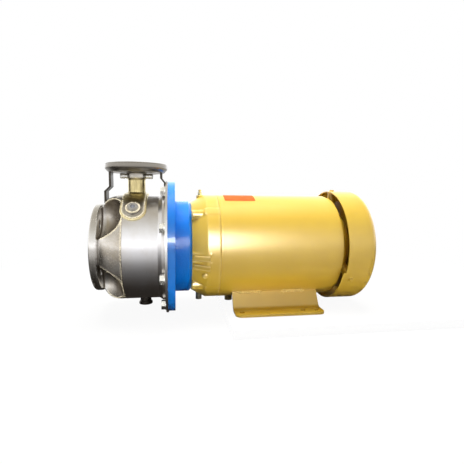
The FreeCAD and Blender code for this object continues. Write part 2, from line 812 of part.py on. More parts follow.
def seal_parts():
    hub_end = FLANGE_X + " + seal_hub_length"
    pocket = FLANGE_X + " + seat_pocket_depth"
    opening = "seal_shaft_radius + 2"
    groove = FLANGE_X + " + 2 * o_ring_wire"
    o_ring_radius = SHELL_BORE + " + 2 * o_ring_wire"
    node("seal_plate", turned("seal_plate", [
        (FLANGE_X, "seat_pocket_radius"),
        (FLANGE_X, o_ring_radius + " - o_ring_wire"),
        (groove, o_ring_radius + " - o_ring_wire"),
        (groove, o_ring_radius + " + o_ring_wire"),
        (FLANGE_X, o_ring_radius + " + o_ring_wire"),
        (FLANGE_X, "seal_plate_radius"),
        (FLANGE_X + " + seal_plate_thickness", "seal_plate_radius"),
        (FLANGE_X + " + seal_plate_thickness", "seal_hub_radius"),
        (hub_end, "seal_hub_radius"),
        (hub_end, opening),
        (pocket, opening),
        (pocket, "seat_pocket_radius"),
    ]))
    ring = doc.addObject("Part::Torus", "casing_o_ring")
    bind(ring, "Radius1", o_ring_radius)
    bind(ring, "Radius2", "o_ring_wire")
    place(ring, FLANGE_X + " + o_ring_wire", "0", "shaft_height", ALONG)
    node("casing_o_ring", ring)
    seat_bore = "seal_shaft_radius + 0.6"
    seat_back = FLANGE_X + " + seat_length"
    node("seal_seat", turned("seal_seat", [
        (FLANGE_X, seat_bore),
        (FLANGE_X, "seat_radius"),
        (seat_back, "seat_radius"),
        (seat_back, seat_bore),
    ]))
    node("seat_cup", turned("seat_cup", [
        (FLANGE_X, "seat_radius"),
        (FLANGE_X, "seat_pocket_radius"),
        (pocket, "seat_pocket_radius"),
        (pocket, opening),
        (seat_back, opening),
        (seat_back, "seat_radius"),
    ]))
    face = FLANGE_X + " - seal_gap"
    rear = face + " - seal_head_length"
    node("seal_head", turned("seal_head", [
        (rear, "seal_shaft_radius"),
        (rear, "seal_head_radius"),
        (face + " - seal_head_length / 2", "seal_head_radius"),
        (face + " - seal_head_length / 2", "seat_radius - 1"),
        (face, "seat_radius - 1"),
        (face, "seal_shaft_radius"),
    ]))


def seal_spring():
    """A round-wire coil between the impeller hub and the seal's rotating head."""
    start = value(IMPELLER_BACK_X)
    end = value(FLANGE_X + " - seal_gap - seal_head_length")
    wire = value("spring_wire")
    turns = 3
    height = end - start - 2 * wire
    helix = Part.makeHelix(height / turns, height, value("spring_radius"))
    circle = Part.makeCircle(wire, Vector(value("spring_radius"), 0, 0), Vector(0, 1, 0))
    coil = Part.Wire(helix.Edges).makePipeShell([Part.Wire([circle])], True, True)
    feature = doc.addObject("Part::Feature", "seal_spring")
    feature.Shape = coil
    feature.Placement = Placement(Vector(start + wire, 0, value("shaft_height")), ALONG)
    return node("seal_spring", feature)


# Front end bell and its small parts

TIE_CIRCLE = "(frame_radius - tie_inset)"
BEARING_SEAT_X = ENDBELL_X[:-1] + " + endbell_face)"
BEARING_X = BEARING_SEAT_X[:-1] + " + wave_spring)"
BEARING_END_X = BEARING_X[:-1] + " + front_bearing_width)"
GREASE_X = ENDBELL_X + " + grease_place"
RELIEF_X = ENDBELL_X + " + relief_place"


def front_endbell():
    hub = "front_bearing_outer + hub_wall"
    inner = "frame_radius - endbell_wall"
    seal_end = ENDBELL_X + " - spigot_length + lip_seal_length"
    blank = turned("endbell_blank", [
        (ENDBELL_X + " - spigot_length", "lip_seal_radius"),
        (ENDBELL_X + " - spigot_length", "spigot_radius"),
        (ENDBELL_X, "spigot_radius"),
        (ENDBELL_X, "endbell_face_radius"),
        (ENDBELL_X + " + endbell_cone", "frame_radius"),
        (FRAME_X, "frame_radius"),
        (FRAME_X, "frame_radius - frame_wall"),
        (FRAME_X + " + frame_wall", "frame_radius - frame_wall"),
        (FRAME_X + " + frame_wall", inner),
        (ENDBELL_X + " + endbell_cone + endbell_face", inner),
        (ENDBELL_X + " + endbell_face", "endbell_face_radius - endbell_wall"),
        (ENDBELL_X + " + endbell_face", hub),
        (BEARING_END_X, hub),
        (BEARING_END_X, "front_bearing_outer"),
        (BEARING_SEAT_X, "front_bearing_outer"),
        (BEARING_SEAT_X, "lip_seal_radius - 4"),
        (seal_end, "lip_seal_radius - 4"),
        (seal_end, "lip_seal_radius"),
    ])
    boss = radial("grease_boss", GREASE_X, "endbell_face_radius - endbell_wall", "frame_radius",
                  "grease_boss_radius", "0")
    pads = []
    for angle in circle_angles(count("tie_count"), straddle=True):
        pads.append(axial("tie_pad", ENDBELL_X + " + endbell_face / 2", "endbell_length - endbell_face / 2",
                          "2.6 * tie_radius", TIE_CIRCLE, angle))
    keep = axial("endbell_keep", ENDBELL_X, "endbell_length + frame_wall", "frame_radius - frame_wall")
    body = fused("endbell_body", blank, boss, common("tie_pads", fused("tie_pads_all", *pads), keep),
                 *endbell_relief())
    cutters = [radial("grease_port", GREASE_X, "endbell_face_radius - 2 * endbell_wall", "frame_radius",
                      "grease_stem", "0"),
               radial("relief_port", RELIEF_X, "endbell_face_radius - 2 * endbell_wall", "frame_radius",
                      "relief_radius - 2", "180")]
    for angle in circle_angles(count("tie_count"), straddle=True):
        cutters.append(axial("tie_tap", FRAME_X + " - tie_grip", "tie_grip + 2 * frame_wall", "tie_radius",
                             TIE_CIRCLE, angle))
    for angle in circle_angles(count("face_bolt_count"), straddle=True):
        cutters.append(axial("face_tap", ENDBELL_X, "face_bolt_grip", "face_bolt_radius", "face_bolt_circle",
                             angle))
    return node("front_endbell", cut("front_endbell", body, *cutters))


def endbell_relief():
    """What stands out on the bell's cone: corner bosses, the bands behind them, ribs and a knob."""
    pieces = []
    band_start = "corner_boss_length + band_gap"
    skin = turned("band_skin", [
        (ENDBELL_X + " + " + band_start, "frame_radius - endbell_wall"),
        (ENDBELL_X + " + " + band_start, "frame_radius + band_rise"),
        (FRAME_X, "frame_radius + band_rise"),
        (FRAME_X, "frame_radius - endbell_wall"),
    ])
    bars = []
    for angle in circle_angles(count("tie_count"), straddle=True):
        pieces.append(axial("corner_boss", ENDBELL_X, "corner_boss_length", "corner_boss_radius",
                            "corner_boss_circle", angle))
        bar = block("band_bar", "0", "0", "0", "endbell_length", "2 * band_half", "2 * frame_radius")
        turn = Rotation(Vector(1, 0, 0), float(angle))
        bars.append(place(bar, ENDBELL_X, "-band_half * cos(%s)" % angle,
                          "shaft_height - band_half * sin(%s)" % angle, turn))
    pieces.append(common("bands", skin, fused("band_bars", *bars)))
    rib_end = ENDBELL_X + " + endbell_cone + rib_overrun"
    for side in (-1, 1):
        for step in range(count("rib_count")):
            rib = pad("rib", "XZ_Plane", [
                (ENDBELL_X, "endbell_face_radius - endbell_wall / 2"),
                (ENDBELL_X, "endbell_face_radius + rib_rise"),
                (rib_end, "frame_radius + band_rise"),
                (rib_end, "frame_radius - endbell_wall / 2"),
            ], "rib_thickness")
            angle = side * value("rib_first_angle + %d * rib_step_angle" % step)
            pieces.append(place(rib, "0", "0", "shaft_height", Rotation(Vector(1, 0, 0), angle)))
        pieces.append(radial("knob", ENDBELL_X + " + knob_place", "frame_radius - endbell_wall",
                             "frame_radius + knob_rise", "knob_radius", "(%d) * knob_angle" % side))
    return pieces


def grease_parts():
    top = "frame_radius"
    stem = radial("grease_stem", GREASE_X, top + " - 6", top, "grease_stem", "0")
    nut = radial_hex("grease_nut", GREASE_X, top, top + " + grease_nut_height", "grease_hex", "0")
    barrel = radial("grease_barrel", GREASE_X, top + " + grease_nut_height", top + " + grease_rise",
                    "grease_stem", "0")
    nipple = radial("grease_nipple", GREASE_X, top + " + 0.7 * grease_rise", top + " + grease_rise",
                    "grease_nipple", "0")
    node("grease_fitting", fused("grease_fitting", stem, nut, barrel, nipple))
    flat = "(endbell_face_radius + (frame_radius - endbell_face_radius) * relief_place / endbell_cone)"
    shank = radial("relief_shank", RELIEF_X, flat + " - 6", flat, "relief_radius - 2", "180")
    head = radial("relief_head", RELIEF_X, flat + " - 8", "frame_radius + relief_rise", "relief_radius",
                  "180")
    cone = turned("relief_bed", [
        (ENDBELL_X, "0"),
        (ENDBELL_X, "endbell_face_radius"),
        (ENDBELL_X + " + endbell_cone", "frame_radius"),
        (FRAME_X, "frame_radius"),
        (FRAME_X, "0"),
    ])
    node("grease_relief_plug", fused("grease_relief_plug", shank, cut("relief_seated", head, cone)))


def lip_seal():
    start = ENDBELL_X + " - spigot_length"
    lip = "seal_shaft_radius + seal_gap"
    return node("shaft_lip_seal", turned("shaft_lip_seal", [
        (start, lip),
        (start, "lip_seal_radius"),
        (start + " + lip_seal_length", "lip_seal_radius"),
        (start + " + lip_seal_length", lip + " + 4"),
        (start + " + lip_seal_length / 2", lip + " + 3"),
        (start + " + lip_seal_length / 2", lip),
    ]))


# Motor

REAR_X = "frame_rear"
REAR_SEAT_X = "(frame_rear + rear_bell_length - rear_bell_back)"
REAR_BEARING_X = "(frame_rear + rear_bell_length - rear_bell_back - rear_bearing_width)"
COVER_X = "(frame_rear + cover_gap)"
COVER_END_X = "(frame_rear + cover_gap + cover_length)"
COVER_SCREW_X = "(frame_rear + cover_gap + cover_screw_place)"
FAN_X = "(frame_rear + rear_bell_length + fan_gap)"
FRAME_BORE = "(frame_radius - frame_wall)"


def motor_frame():
    blank = turned("frame_blank", [
        (FRAME_X, FRAME_BORE),
        (FRAME_X, "frame_radius"),
        (REAR_X, "frame_radius"),
        (REAR_X, FRAME_BORE),
    ])
    drain = radial("frame_drain_port", FRAME_X + " + frame_drain_place", "0.8 * frame_radius",
                   "frame_radius + 1", "frame_drain_thread", "180")
    lead = radial("lead_port", "0", "0.8 * frame_radius", "frame_radius + 1", "lead_radius", "-90")
    return node("motor_frame", cut("motor_frame", blank, drain, lead))


def stator():
    blank = turned("core_blank", [
        ("-stator_front", "stator_bore"),
        ("-stator_front", FRAME_BORE),
        ("stator_rear", FRAME_BORE),
        ("stator_rear", "stator_bore"),
    ])
    holes = [axial("core_hole", "-stator_front - 1", "stator_front + stator_rear + 2", "tie_radius + 0.4",
                   TIE_CIRCLE, angle)
             for angle in circle_angles(count("tie_count"), straddle=True)]
    node("stator_core", cut("stator_core", blank, *holes))
    outer = "(frame_radius - winding_inset)"
    ends = []
    for name, near, far in (("winding_front", "-stator_front", "-stator_front - winding_reach"),
                            ("winding_rear", "stator_rear", "stator_rear + winding_reach")):
        bulge = "(%s - winding_inner) / 4" % outer
        middle = "((%s) * 0.25 + (%s) * 0.75)" % (near, far)
        ends.append(turned(name, [
            (near, "winding_inner"),
            (near, outer),
            (middle, outer),
            (far, outer + " - " + bulge),
            (far, "winding_inner + " + bulge),
            (middle, "winding_inner"),
        ]))
    node("stator_windings", group("stator_windings", ends))


def tie_bolts():
    bolts = []
    seat = "(frame_rear + rear_bell_wall)"
    for angle in circle_angles(count("tie_count"), straddle=True):
        head = axial_hex("tie_head", seat, "tie_head_height", "tie_head_radius", TIE_CIRCLE + " - 3", angle)
        shank = axial("tie_shank", FRAME_X + " - tie_grip", "frame_front + tie_grip + " + seat, "tie_radius",
                      TIE_CIRCLE, angle)
        bolts.append(fused("tie_bolt", shank, head))
    return node("through_bolts", group("through_bolts", bolts))


def rear_endbell():
    hub = "rear_bearing_outer + hub_wall"
    flange = "(frame_rear + rear_bell_wall)"
    back = "(frame_rear + rear_bell_length)"
    shoulder = TIE_CIRCLE + " - 2.6 * tie_head_radius"
    blank = turned("rear_blank", [
        (REAR_X, hub + " + 6"),
        (REAR_X, "frame_radius - rear_bell_inset"),
        (flange, "frame_radius - rear_bell_inset"),
        (flange, shoulder),
        (back + " - rear_bell_taper", shoulder),
        (back, shoulder + " - rear_bell_taper"),
        (back, "rear_shaft_hole"),
        (REAR_SEAT_X, "rear_shaft_hole"),
        (REAR_SEAT_X, "rear_bearing_outer"),
        (REAR_BEARING_X + " - 1", "rear_bearing_outer"),
        (REAR_BEARING_X + " - 1", hub),
        (REAR_X + " + 8", hub),
        (REAR_X + " + 8", hub + " + 6"),
    ])
    inside = "cover_radius - cover_wall"
    lugs = []
    cutters = []
    for angle in circle_angles(count("lug_count")):
        lugs.append(radial("cover_lug", COVER_SCREW_X, shoulder + " - 5", inside, "lug_radius", angle))
        cutters.append(radial("lug_tap", COVER_SCREW_X, inside + " - cover_screw_length", inside + " + 1",
                              "cover_screw_radius", angle))
    for angle in circle_angles(count("tie_count"), straddle=True):
        cutters.append(axial("tie_hole", REAR_X + " - 1", "rear_bell_wall + 1", "tie_radius", TIE_CIRCLE,
                             angle))
    keep = axial("lug_keep", REAR_X, "rear_bell_length", inside)
    body = fused("rear_body", blank, common("cover_lugs", fused("cover_lugs_all", *lugs), keep))
    return node("rear_endbell", cut("rear_endbell", body, *cutters))


def frame_drain():
    x = FRAME_X + " + frame_drain_place"
    shank = radial("frame_drain_shank", x, FRAME_BORE, "frame_radius", "frame_drain_thread", "180")
    head = radial("frame_drain_head", x, FRAME_BORE, "frame_radius + frame_drain_height", "frame_drain_radius",
                  "180")
    bed = axial("frame_drain_bed", FRAME_X, "frame_front", "frame_radius")
    return node("frame_drain_plug", fused("frame_drain_plug", shank, cut("frame_drain_seated", head, bed)))


def fan_cover():
    inside = "cover_radius - cover_wall"
    start = COVER_X + " - cover_lip"
    blank = turned("cover_blank", [
        (start, inside),
        (start, "cover_radius"),
        (COVER_END_X + " - cover_round", "cover_radius"),
        (COVER_END_X, "cover_radius - cover_round", "cover_round", -1),
        (COVER_END_X, "0"),
        (COVER_END_X + " - cover_wall", "0"),
        (COVER_END_X + " - cover_wall", "cover_radius - cover_round"),
        (COVER_END_X + " - cover_round", inside, "cover_round - cover_wall", 1),
    ])
    upper = block("cover_upper", start + " - 1", "-cover_radius - 1",
                  "shaft_height + cover_radius * cos(cover_lip_angle)", "cover_lip + 1",
                  "2 * cover_radius + 2", "2 * cover_radius + 2")
    rings = []
    for step in range(count("grille_rings")):
        inner = "(grille_inner + %d * (grille_slot + grille_web))" % step
        rings.append(turned("grille_ring", [
            (COVER_END_X + " - 2 * cover_wall", inner),
            (COVER_END_X + " - 2 * cover_wall", inner + " + grille_slot"),
            (COVER_END_X + " + cover_wall", inner + " + grille_slot"),
            (COVER_END_X + " + cover_wall", inner),
        ]))
    spokes = []
    for angle in circle_angles(count("grille_spokes")):
        spoke = doc.addObject("Part::Box", "grille_spoke")
        bind(spoke, "Length", "4 * cover_wall")
        bind(spoke, "Width", "1.3 * grille_web")
        bind(spoke, "Height", "cover_radius")
        turn = Rotation(Vector(1, 0, 0), float(angle))
        spokes.append(place(spoke, COVER_END_X + " - 3 * cover_wall",
                            "-0.65 * grille_web * cos(%s)" % angle,
                            "shaft_height - 0.65 * grille_web * sin(%s)" % angle, turn))
    slots = cut("grille_slots", fused("grille_all", *rings), *spokes)
    holes = [radial("cover_hole", COVER_SCREW_X, inside + " - 1", "cover_radius + 1",
                    "cover_screw_radius", angle)
             for angle in circle_angles(count("lug_count"))]
    return node("fan_cover", cut("fan_cover", blank, upper, slots, *holes))


def cover_screws():
    screws = []
    for angle in circle_angles(count("lug_count")):
        shank = radial("screw_shank", COVER_SCREW_X, "cover_radius - cover_wall - cover_screw_length",
                       "cover_radius", "cover_screw_radius", angle)
        head = radial_hex("screw_head", COVER_SCREW_X, "cover_radius - cover_wall / 2",
                          "cover_radius + cover_screw_head_height", "cover_screw_head", angle)
        bed = axial("screw_bed", COVER_X, "cover_length", "cover_radius")
        screws.append(fused("cover_screw", shank, cut("screw_seated", head, bed)))
    return node("fan_cover_screws", group("fan_cover_screws", screws))


def feet():
    """Two pressed rails, each with three slots for the base, welded under the motor."""
    outer = "foot_hole_side + foot_side_margin"
    bend = "foot_hole_side - foot_bend_inset"
    length = "2 * (foot_hole_reach + foot_end_margin)"
    web = "(frame_radius - foot_web_inset)"
    web_top = "shaft_height - sqrt(frame_radius^2 - %s^2) + foot_plate" % web
    frame_round = axial("foot_bed", "-frame_front", "frame_front + frame_rear", "frame_radius")
    rails = {}

    def bend_at(y, z):
        """Picks the long edge at a height and a distance from the middle."""
        return lambda edge: (edge.BoundBox.XLength > 10
                             and edge.BoundBox.DiagonalLength < edge.BoundBox.XLength + 0.01
                             and abs(edge.CenterOfMass.y - y) < 0.01
                             and abs(edge.CenterOfMass.z - z) < 0.01)

    for name, side in (("foot_near", -1), ("foot_far", 1)):
        rail = pad(name + "_blank", "YZ_Plane", [
            ("(%d) * (%s)" % (side, outer), "0"),
            ("(%d) * (%s - 1.2 * foot_plate)" % (side, bend), "0"),
            ("(%d) * (%s - 1.2 * foot_plate)" % (side, web), web_top),
            ("(%d) * %s" % (side, web), web_top),
            ("(%d) * (%s)" % (side, bend), "foot_plate"),
            ("(%d) * (%s)" % (side, outer), "foot_plate"),
        ], length)
        edge_y = side * value(outer)
        soft = rounded(name + "_rounded", rail, "foot_corner",
                       lambda edge: all(abs(v.Y - edge_y) < 0.01 for v in edge.Vertexes)
                       and edge.BoundBox.ZLength > 1)
        soft = rounded(name + "_bend_above", soft, "foot_bend_round",
                       bend_at(side * value(bend), value("foot_plate")))
        soft = rounded(name + "_bend_below", soft, "foot_bend_round + foot_plate",
                       bend_at(side * value(bend + " - 1.2 * foot_plate"), 0))
        holes = [place(cylinder("foot_hole", "foot_hole_radius", "3 * foot_plate"), x,
                       "(%d) * foot_hole_side" % side, "-foot_plate")
                 for x in ("-foot_hole_reach", "foot_hole_middle", "foot_hole_reach")]
        rails[side] = node(name, cut(name, soft, frame_round, *holes))
    beads = []
    for side in (-1, 1):
        for x in ("-weld_front_place", "weld_rear_place"):
            seat_z = "shaft_height - sqrt(frame_radius^2 - (%s + foot_plate / 2)^2)" % web
            bead = cylinder("weld_bead", "weld_radius", "weld_length")
            place(bead, x, "(%d) * (%s + foot_plate / 2)" % (side, web), seat_z, ALONG)
            beads.append(cut("weld", bead, frame_round, rails[side]))
    node("foot_welds", group("foot_welds", beads))


def conduit_box():
    inner = "0.8 * frame_radius"
    outer_box = block("box_outer", "-box_half_length", inner, "shaft_height - box_half_height",
                      "2 * box_half_length", "box_reach - (%s)" % inner, "2 * box_half_height")
    soft = rounded("box_rounded", outer_box, "box_corner", lambda edge: edge.BoundBox.YLength > 10)
    hollow = block("box_hollow", "-box_half_length + box_wall", "frame_radius + box_wall",
                   "shaft_height - box_half_height + box_wall", "2 * (box_half_length - box_wall)",
                   "box_reach", "2 * (box_half_height - box_wall)")
    bed = axial("box_bed", "-frame_front", "frame_front + frame_rear", "frame_radius")
    lead = radial("box_lead", "0", inner, "frame_radius + 2 * box_wall", "lead_radius", "-90")
    entry = place(cylinder("box_entry", "conduit_hole", "4 * box_wall"), "0",
                  "(frame_radius + box_reach) / 2", "shaft_height - box_half_height - box_wall")
    corners = [(sx, sz) for sx in (-1, 1) for sz in (-1, 1)]

    def at_corners(label, y, length, radius):
        return [place(cylinder(label, radius, length), "(%d) * (box_half_length - lid_screw_inset)" % sx, y,
                      "shaft_height + (%d) * (box_half_height - lid_screw_inset)" % sz, ACROSS)
                for sx, sz in corners]

    posts = at_corners("box_post", "frame_radius + box_wall / 2", "box_reach - frame_radius - box_wall / 2",
                       "lid_post")
    walls = cut("box_walls", soft, hollow)
    grip = "lid_screw_grip + lid_screw_spare"
    taps = at_corners("box_tap", "box_reach - (%s)" % grip, grip, "lid_screw_radius")
    node("conduit_box", cut("conduit_box", fused("box_body", walls, *posts), bed, lead, entry, *taps))
    for name, start, thick in (("conduit_gasket", "box_reach", "gasket_thickness"),
                               ("conduit_cover", "box_reach + gasket_thickness", "lid_thickness")):
        sheet_block = block(name + "_sheet", "-box_half_length", start, "shaft_height - box_half_height",
                            "2 * box_half_length", thick, "2 * box_half_height")
        corner = rounded(name + "_rounded", sheet_block, "box_corner",
                         lambda edge: abs(edge.BoundBox.YLength - value(thick)) < 0.01
                         and edge.BoundBox.DiagonalLength < value(thick) + 0.01)
        holes = at_corners(name + "_hole", start, thick, "lid_screw_radius")
        node(name, cut(name, corner, *holes))
    screws = []
    seat = "box_reach + gasket_thickness + lid_thickness"
    shanks = at_corners("lid_shank", "box_reach - lid_screw_grip",
                        "lid_screw_grip + gasket_thickness + lid_thickness", "lid_screw_radius")
    heads = at_corners("lid_head", seat, "lid_screw_head_height", "lid_screw_head")
    for shank, head in zip(shanks, heads):
        screws.append(fused("lid_screw", shank, head))
    node("conduit_screws", group("conduit_screws", screws))
    sleeve = radial("lead_sleeve", "0", FRAME_BORE, "frame_radius + box_wall", "lead_radius", "-90")
    bore = radial("lead_bore", "0", "0.8 * frame_radius", "frame_radius + 3 * box_wall", "lead_bore", "-90")
    inside = axial("lead_inside", "-frame_front", "frame_front + frame_rear", FRAME_BORE)
    node("lead_bushing", cut("lead_bushing", sleeve, bore, inside))


# Bearings and everything that turns with the shaft

def bearing(prefix, start, width, bore, outer, ball, number):
    """A deep-groove ball bearing: two races with curved grooves, the balls and their cage."""
    middle = "(%s + %s / 2)" % (start, width)
    end = "(%s + %s)" % (start, width)
    pitch = "((%s + %s) / 2)" % (bore, outer)
    track = "(%s + race_clearance)" % ball
    shoulder = "(0.6 * %s)" % ball
    half = "sqrt(%s^2 - %s^2)" % (track, shoulder)
    node(prefix + "_bearing_inner_ring", turned(prefix + "_inner_ring", [
        (start, bore),
        (start, pitch + " - " + shoulder),
        (middle + " - " + half, pitch + " - " + shoulder),
        (middle + " + " + half, pitch + " - " + shoulder, track, 1),
        (end, pitch + " - " + shoulder),
        (end, bore),
    ]))
    node(prefix + "_bearing_outer_ring", turned(prefix + "_outer_ring", [
        (start, outer),
        (end, outer),
        (end, pitch + " + " + shoulder),
        (middle + " + " + half, pitch + " + " + shoulder),
        (middle + " - " + half, pitch + " + " + shoulder, track, 1),
        (start, pitch + " + " + shoulder),
    ]))
    balls = []
    pockets = []
    for angle in circle_angles(number):
        y, z = around(pitch, angle)
        sphere = doc.addObject("Part::Sphere", prefix + "_ball")
        bind(sphere, "Radius", ball)
        balls.append(place(sphere, middle, y, z))
        pocket = doc.addObject("Part::Sphere", prefix + "_pocket")
        bind(pocket, "Radius", "%s + race_clearance" % ball)
        pockets.append(place(pocket, middle, y, z))
    node(prefix + "_bearing_balls", group(prefix + "_bearing_balls", balls))
    thick = "(0.25 * %s)" % ball
    ring = turned(prefix + "_cage_ring", [
        (middle + " - 1.25 * " + ball, pitch + " - " + thick),
        (middle + " - 1.25 * " + ball, pitch + " + " + thick),
        (middle + " + 1.25 * " + ball, pitch + " + " + thick),
        (middle + " + 1.25 * " + ball, pitch + " - " + thick),
    ])
    node(prefix + "_bearing_cage", cut(prefix + "_bearing_cage", ring, *pockets))


IMPELLER_FRONT_X = CHAMBER_X[:-1] + " + impeller_axial_gap)"
IMPELLER_REAR_X = IMPELLER_FRONT_X[:-1] + " + impeller_width + 2 * shroud_thickness)"
HUB_FRONT_X = IMPELLER_FRONT_X[:-1] + " - shroud_thickness)"
IMPELLER_BACK_X = HUB_FRONT_X[:-1] + " + impeller_hub_length)"
SHAFT_TIP_X = HUB_FRONT_X[:-1] + " + 1)"


def key_block(name):
    return block(name, HUB_FRONT_X + " + 8", "-key_half", "shaft_height + impeller_shaft_radius - key_half",
                 "key_length", "2 * key_half", "2 * key_half")


def impeller():
    front = IMPELLER_FRONT_X
    inner_front = front + " + shroud_thickness"
    rear = IMPELLER_REAR_X
    inner_rear = rear + " - shroud_thickness"
    neck_bore = "eye_radius"
    shroud = turned("front_shroud", [
        (CHAMBER_X + " - 0.8 * wear_ring_length", neck_bore),
        (CHAMBER_X + " - 0.8 * wear_ring_length", "impeller_neck"),
        (front + " - 4", "impeller_neck"),
        (front, "impeller_radius"),
        (inner_front, "impeller_radius"),
        (inner_front + " - 4", "impeller_neck + 6"),
        (front + " - 2.5", neck_bore),
    ])
    disc = turned("rear_shroud", [
        (HUB_FRONT_X, "impeller_shaft_radius"),
        (HUB_FRONT_X, "impeller_hub_front"),
        (inner_rear + " - 4", "impeller_neck + 4"),
        (inner_rear, "impeller_radius"),
        (rear, "impeller_radius"),
        (rear, "impeller_hub"),
        (IMPELLER_BACK_X, "impeller_hub"),
        (IMPELLER_BACK_X, "impeller_shaft_radius"),
    ])
    passage = turned("vane_passage", [
        (front + " + shroud_thickness / 2 - 4", "impeller_neck + 1"),
        (front + " + shroud_thickness / 2", "impeller_radius - 0.2"),
        (rear + " - shroud_thickness / 2", "impeller_radius - 0.2"),
        (rear + " - shroud_thickness / 2", "impeller_neck + 1"),
    ])
    vane = pad("vane", "YZ_Plane", vane_outline(), "2 * (impeller_width + 12)")
    bind(vane, "Placement.Base.x", front)
    bind(vane, "Placement.Base.z", "shaft_height")
    doc.recompute()
    turned_vanes = []
    for step in range(count("vane_count")):
        copy = doc.addObject("Part::Compound", "vane_copy")
        copy.Links = [vane]
        lift = Placement(Vector(0, 0, value("shaft_height")), Rotation())
        spin = Placement(Vector(0, 0, 0), Rotation(Vector(1, 0, 0), 360.0 * step / count("vane_count")))
        copy.Placement = lift * spin * lift.inverse()
        turned_vanes.append(copy)
    vanes = common("vanes", fused("vanes_all", *turned_vanes), passage)
    body = fused("impeller_body", shroud, disc, vanes)
    return node("impeller", cut("impeller", body, key_block("impeller_keyway")))


def vane_outline():
    """One backward-curved vane, its two faces arcs about neighbouring centres."""
    lean = "vane_sweep"
    tip = "impeller_radius + 1"
    chord = "sqrt((%s)^2 + vane_inner^2 - 2 * (%s) * vane_inner * cos(%s))" % (tip, tip, lean)
    arc = "0.62 * " + chord
    return [
        ("0", "vane_inner"),
        ("(%s) * sin(%s)" % (tip, lean), "(%s) * cos(%s)" % (tip, lean), arc, -1),
        ("(%s) * sin(%s + 3)" % (tip, lean), "(%s) * cos(%s + 3)" % (tip, lean)),
        ("0", "vane_inner - vane_thickness", arc, 1),
    ]


def shaft():
    tip = SHAFT_TIP_X
    step = BEARING_X + " - 2"
    blank = turned("shaft_blank", [
        (tip + " + shaft_bolt_depth", "0"),
        (tip + " + shaft_bolt_depth", "shaft_bolt_radius"),
        (tip, "shaft_bolt_radius"),
        (tip, "impeller_shaft_radius"),
        (IMPELLER_BACK_X, "impeller_shaft_radius"),
        (IMPELLER_BACK_X, "seal_shaft_radius"),
        (step, "seal_shaft_radius"),
        (step, "front_bearing_bore"),
        (BEARING_END_X, "front_bearing_bore"),
        (BEARING_END_X, "shaft_radius"),
        (REAR_BEARING_X, "shaft_radius"),
        (REAR_BEARING_X, "rear_bearing_bore"),
        (REAR_SEAT_X + " + 1", "rear_bearing_bore"),
        (REAR_SEAT_X + " + 1", "fan_shaft_radius"),
        (FAN_X + " + fan_depth + 2", "fan_shaft_radius"),
        (FAN_X + " + fan_depth + 2", "0"),
    ])
    node("shaft", cut("shaft", blank, key_block("shaft_keyway")))
    node("impeller_key", key_block("impeller_key"))


def impeller_fasteners():
    seat = HUB_FRONT_X + " - impeller_washer_thickness"
    disc = axial("impeller_disc", seat, "impeller_washer_thickness", "impeller_washer_radius")
    shank = axial("impeller_shank", seat, "impeller_washer_thickness + 0.8 * shaft_bolt_depth",
                  "shaft_bolt_radius")
    head = axial_hex("impeller_head", seat + " - impeller_bolt_height", "impeller_bolt_height",
                     "impeller_bolt_head")
    node("impeller_washer", cut("impeller_washer", disc, shank))
    node("impeller_bolt", fused("impeller_bolt", head, shank))


def slinger():
    x = ENDBELL_X + " - slinger_place"
    return node("slinger", turned("slinger", [
        (x, "seal_shaft_radius"),
        (x, "slinger_radius - 5"),
        (x + " + slinger_width / 2", "slinger_radius"),
        (x + " + slinger_width", "slinger_radius"),
        (x + " + slinger_width", "seal_shaft_radius"),
    ]))


def rotor_core():
    return node("rotor_core", turned("rotor_core", [
        ("-stator_front - rotor_ring_length", "rotor_ring_inner"),
        ("-stator_front - rotor_ring_length", "stator_bore - 3"),
        ("-stator_front", "stator_bore - air_gap"),
        ("stator_rear", "stator_bore - air_gap"),
        ("stator_rear + rotor_ring_length", "stator_bore - 3"),
        ("stator_rear + rotor_ring_length", "rotor_ring_inner"),
        ("stator_rear", "rotor_ring_inner"),
        ("stator_rear", "shaft_radius"),
        ("-stator_front", "shaft_radius"),
        ("-stator_front", "rotor_ring_inner"),
    ]))


def fan():
    hub = turned("fan_hub", [
        (FAN_X, "fan_shaft_radius"),
        (FAN_X, "fan_radius"),
        (FAN_X + " + fan_plate", "fan_radius"),
        (FAN_X + " + fan_plate", "fan_hub"),
        (FAN_X + " + fan_depth", "fan_hub"),
        (FAN_X + " + fan_depth", "fan_shaft_radius"),
    ])
    blades = []
    for angle in circle_angles(count("fan_blade_count")):
        blade = doc.addObject("Part::Box", "fan_blade")
        bind(blade, "Length", "fan_depth")
        bind(blade, "Width", "fan_blade")
        bind(blade, "Height", "fan_radius - fan_hub - clamp_thickness - 1")
        y, z = around("fan_hub + clamp_thickness + 1", angle)
        turn = Rotation(Vector(1, 0, 0), float(angle))
        blades.append(place(blade, FAN_X, "(%s) - fan_blade / 2 * cos(%s)" % (y, angle),
                            "(%s) - fan_blade / 2 * sin(%s)" % (z, angle), turn))
    node("fan", fused("fan", hub, *blades))
    clamp = FAN_X + " + fan_depth - clamp_width"
    node("fan_clamp", turned("fan_clamp", [
        (clamp, "fan_hub"),
        (clamp, "fan_hub + clamp_thickness"),
        (clamp + " + clamp_width", "fan_hub + clamp_thickness"),
        (clamp + " + clamp_width", "fan_hub"),
    ]))


def wave_spring():
    return node("bearing_wave_spring", turned("bearing_wave_spring", [
        (BEARING_SEAT_X, "front_bearing_outer - 6"),
        (BEARING_SEAT_X, "front_bearing_outer - 0.5"),
        (BEARING_X, "front_bearing_outer - 0.5"),
        (BEARING_X, "front_bearing_outer - 6"),
    ]))


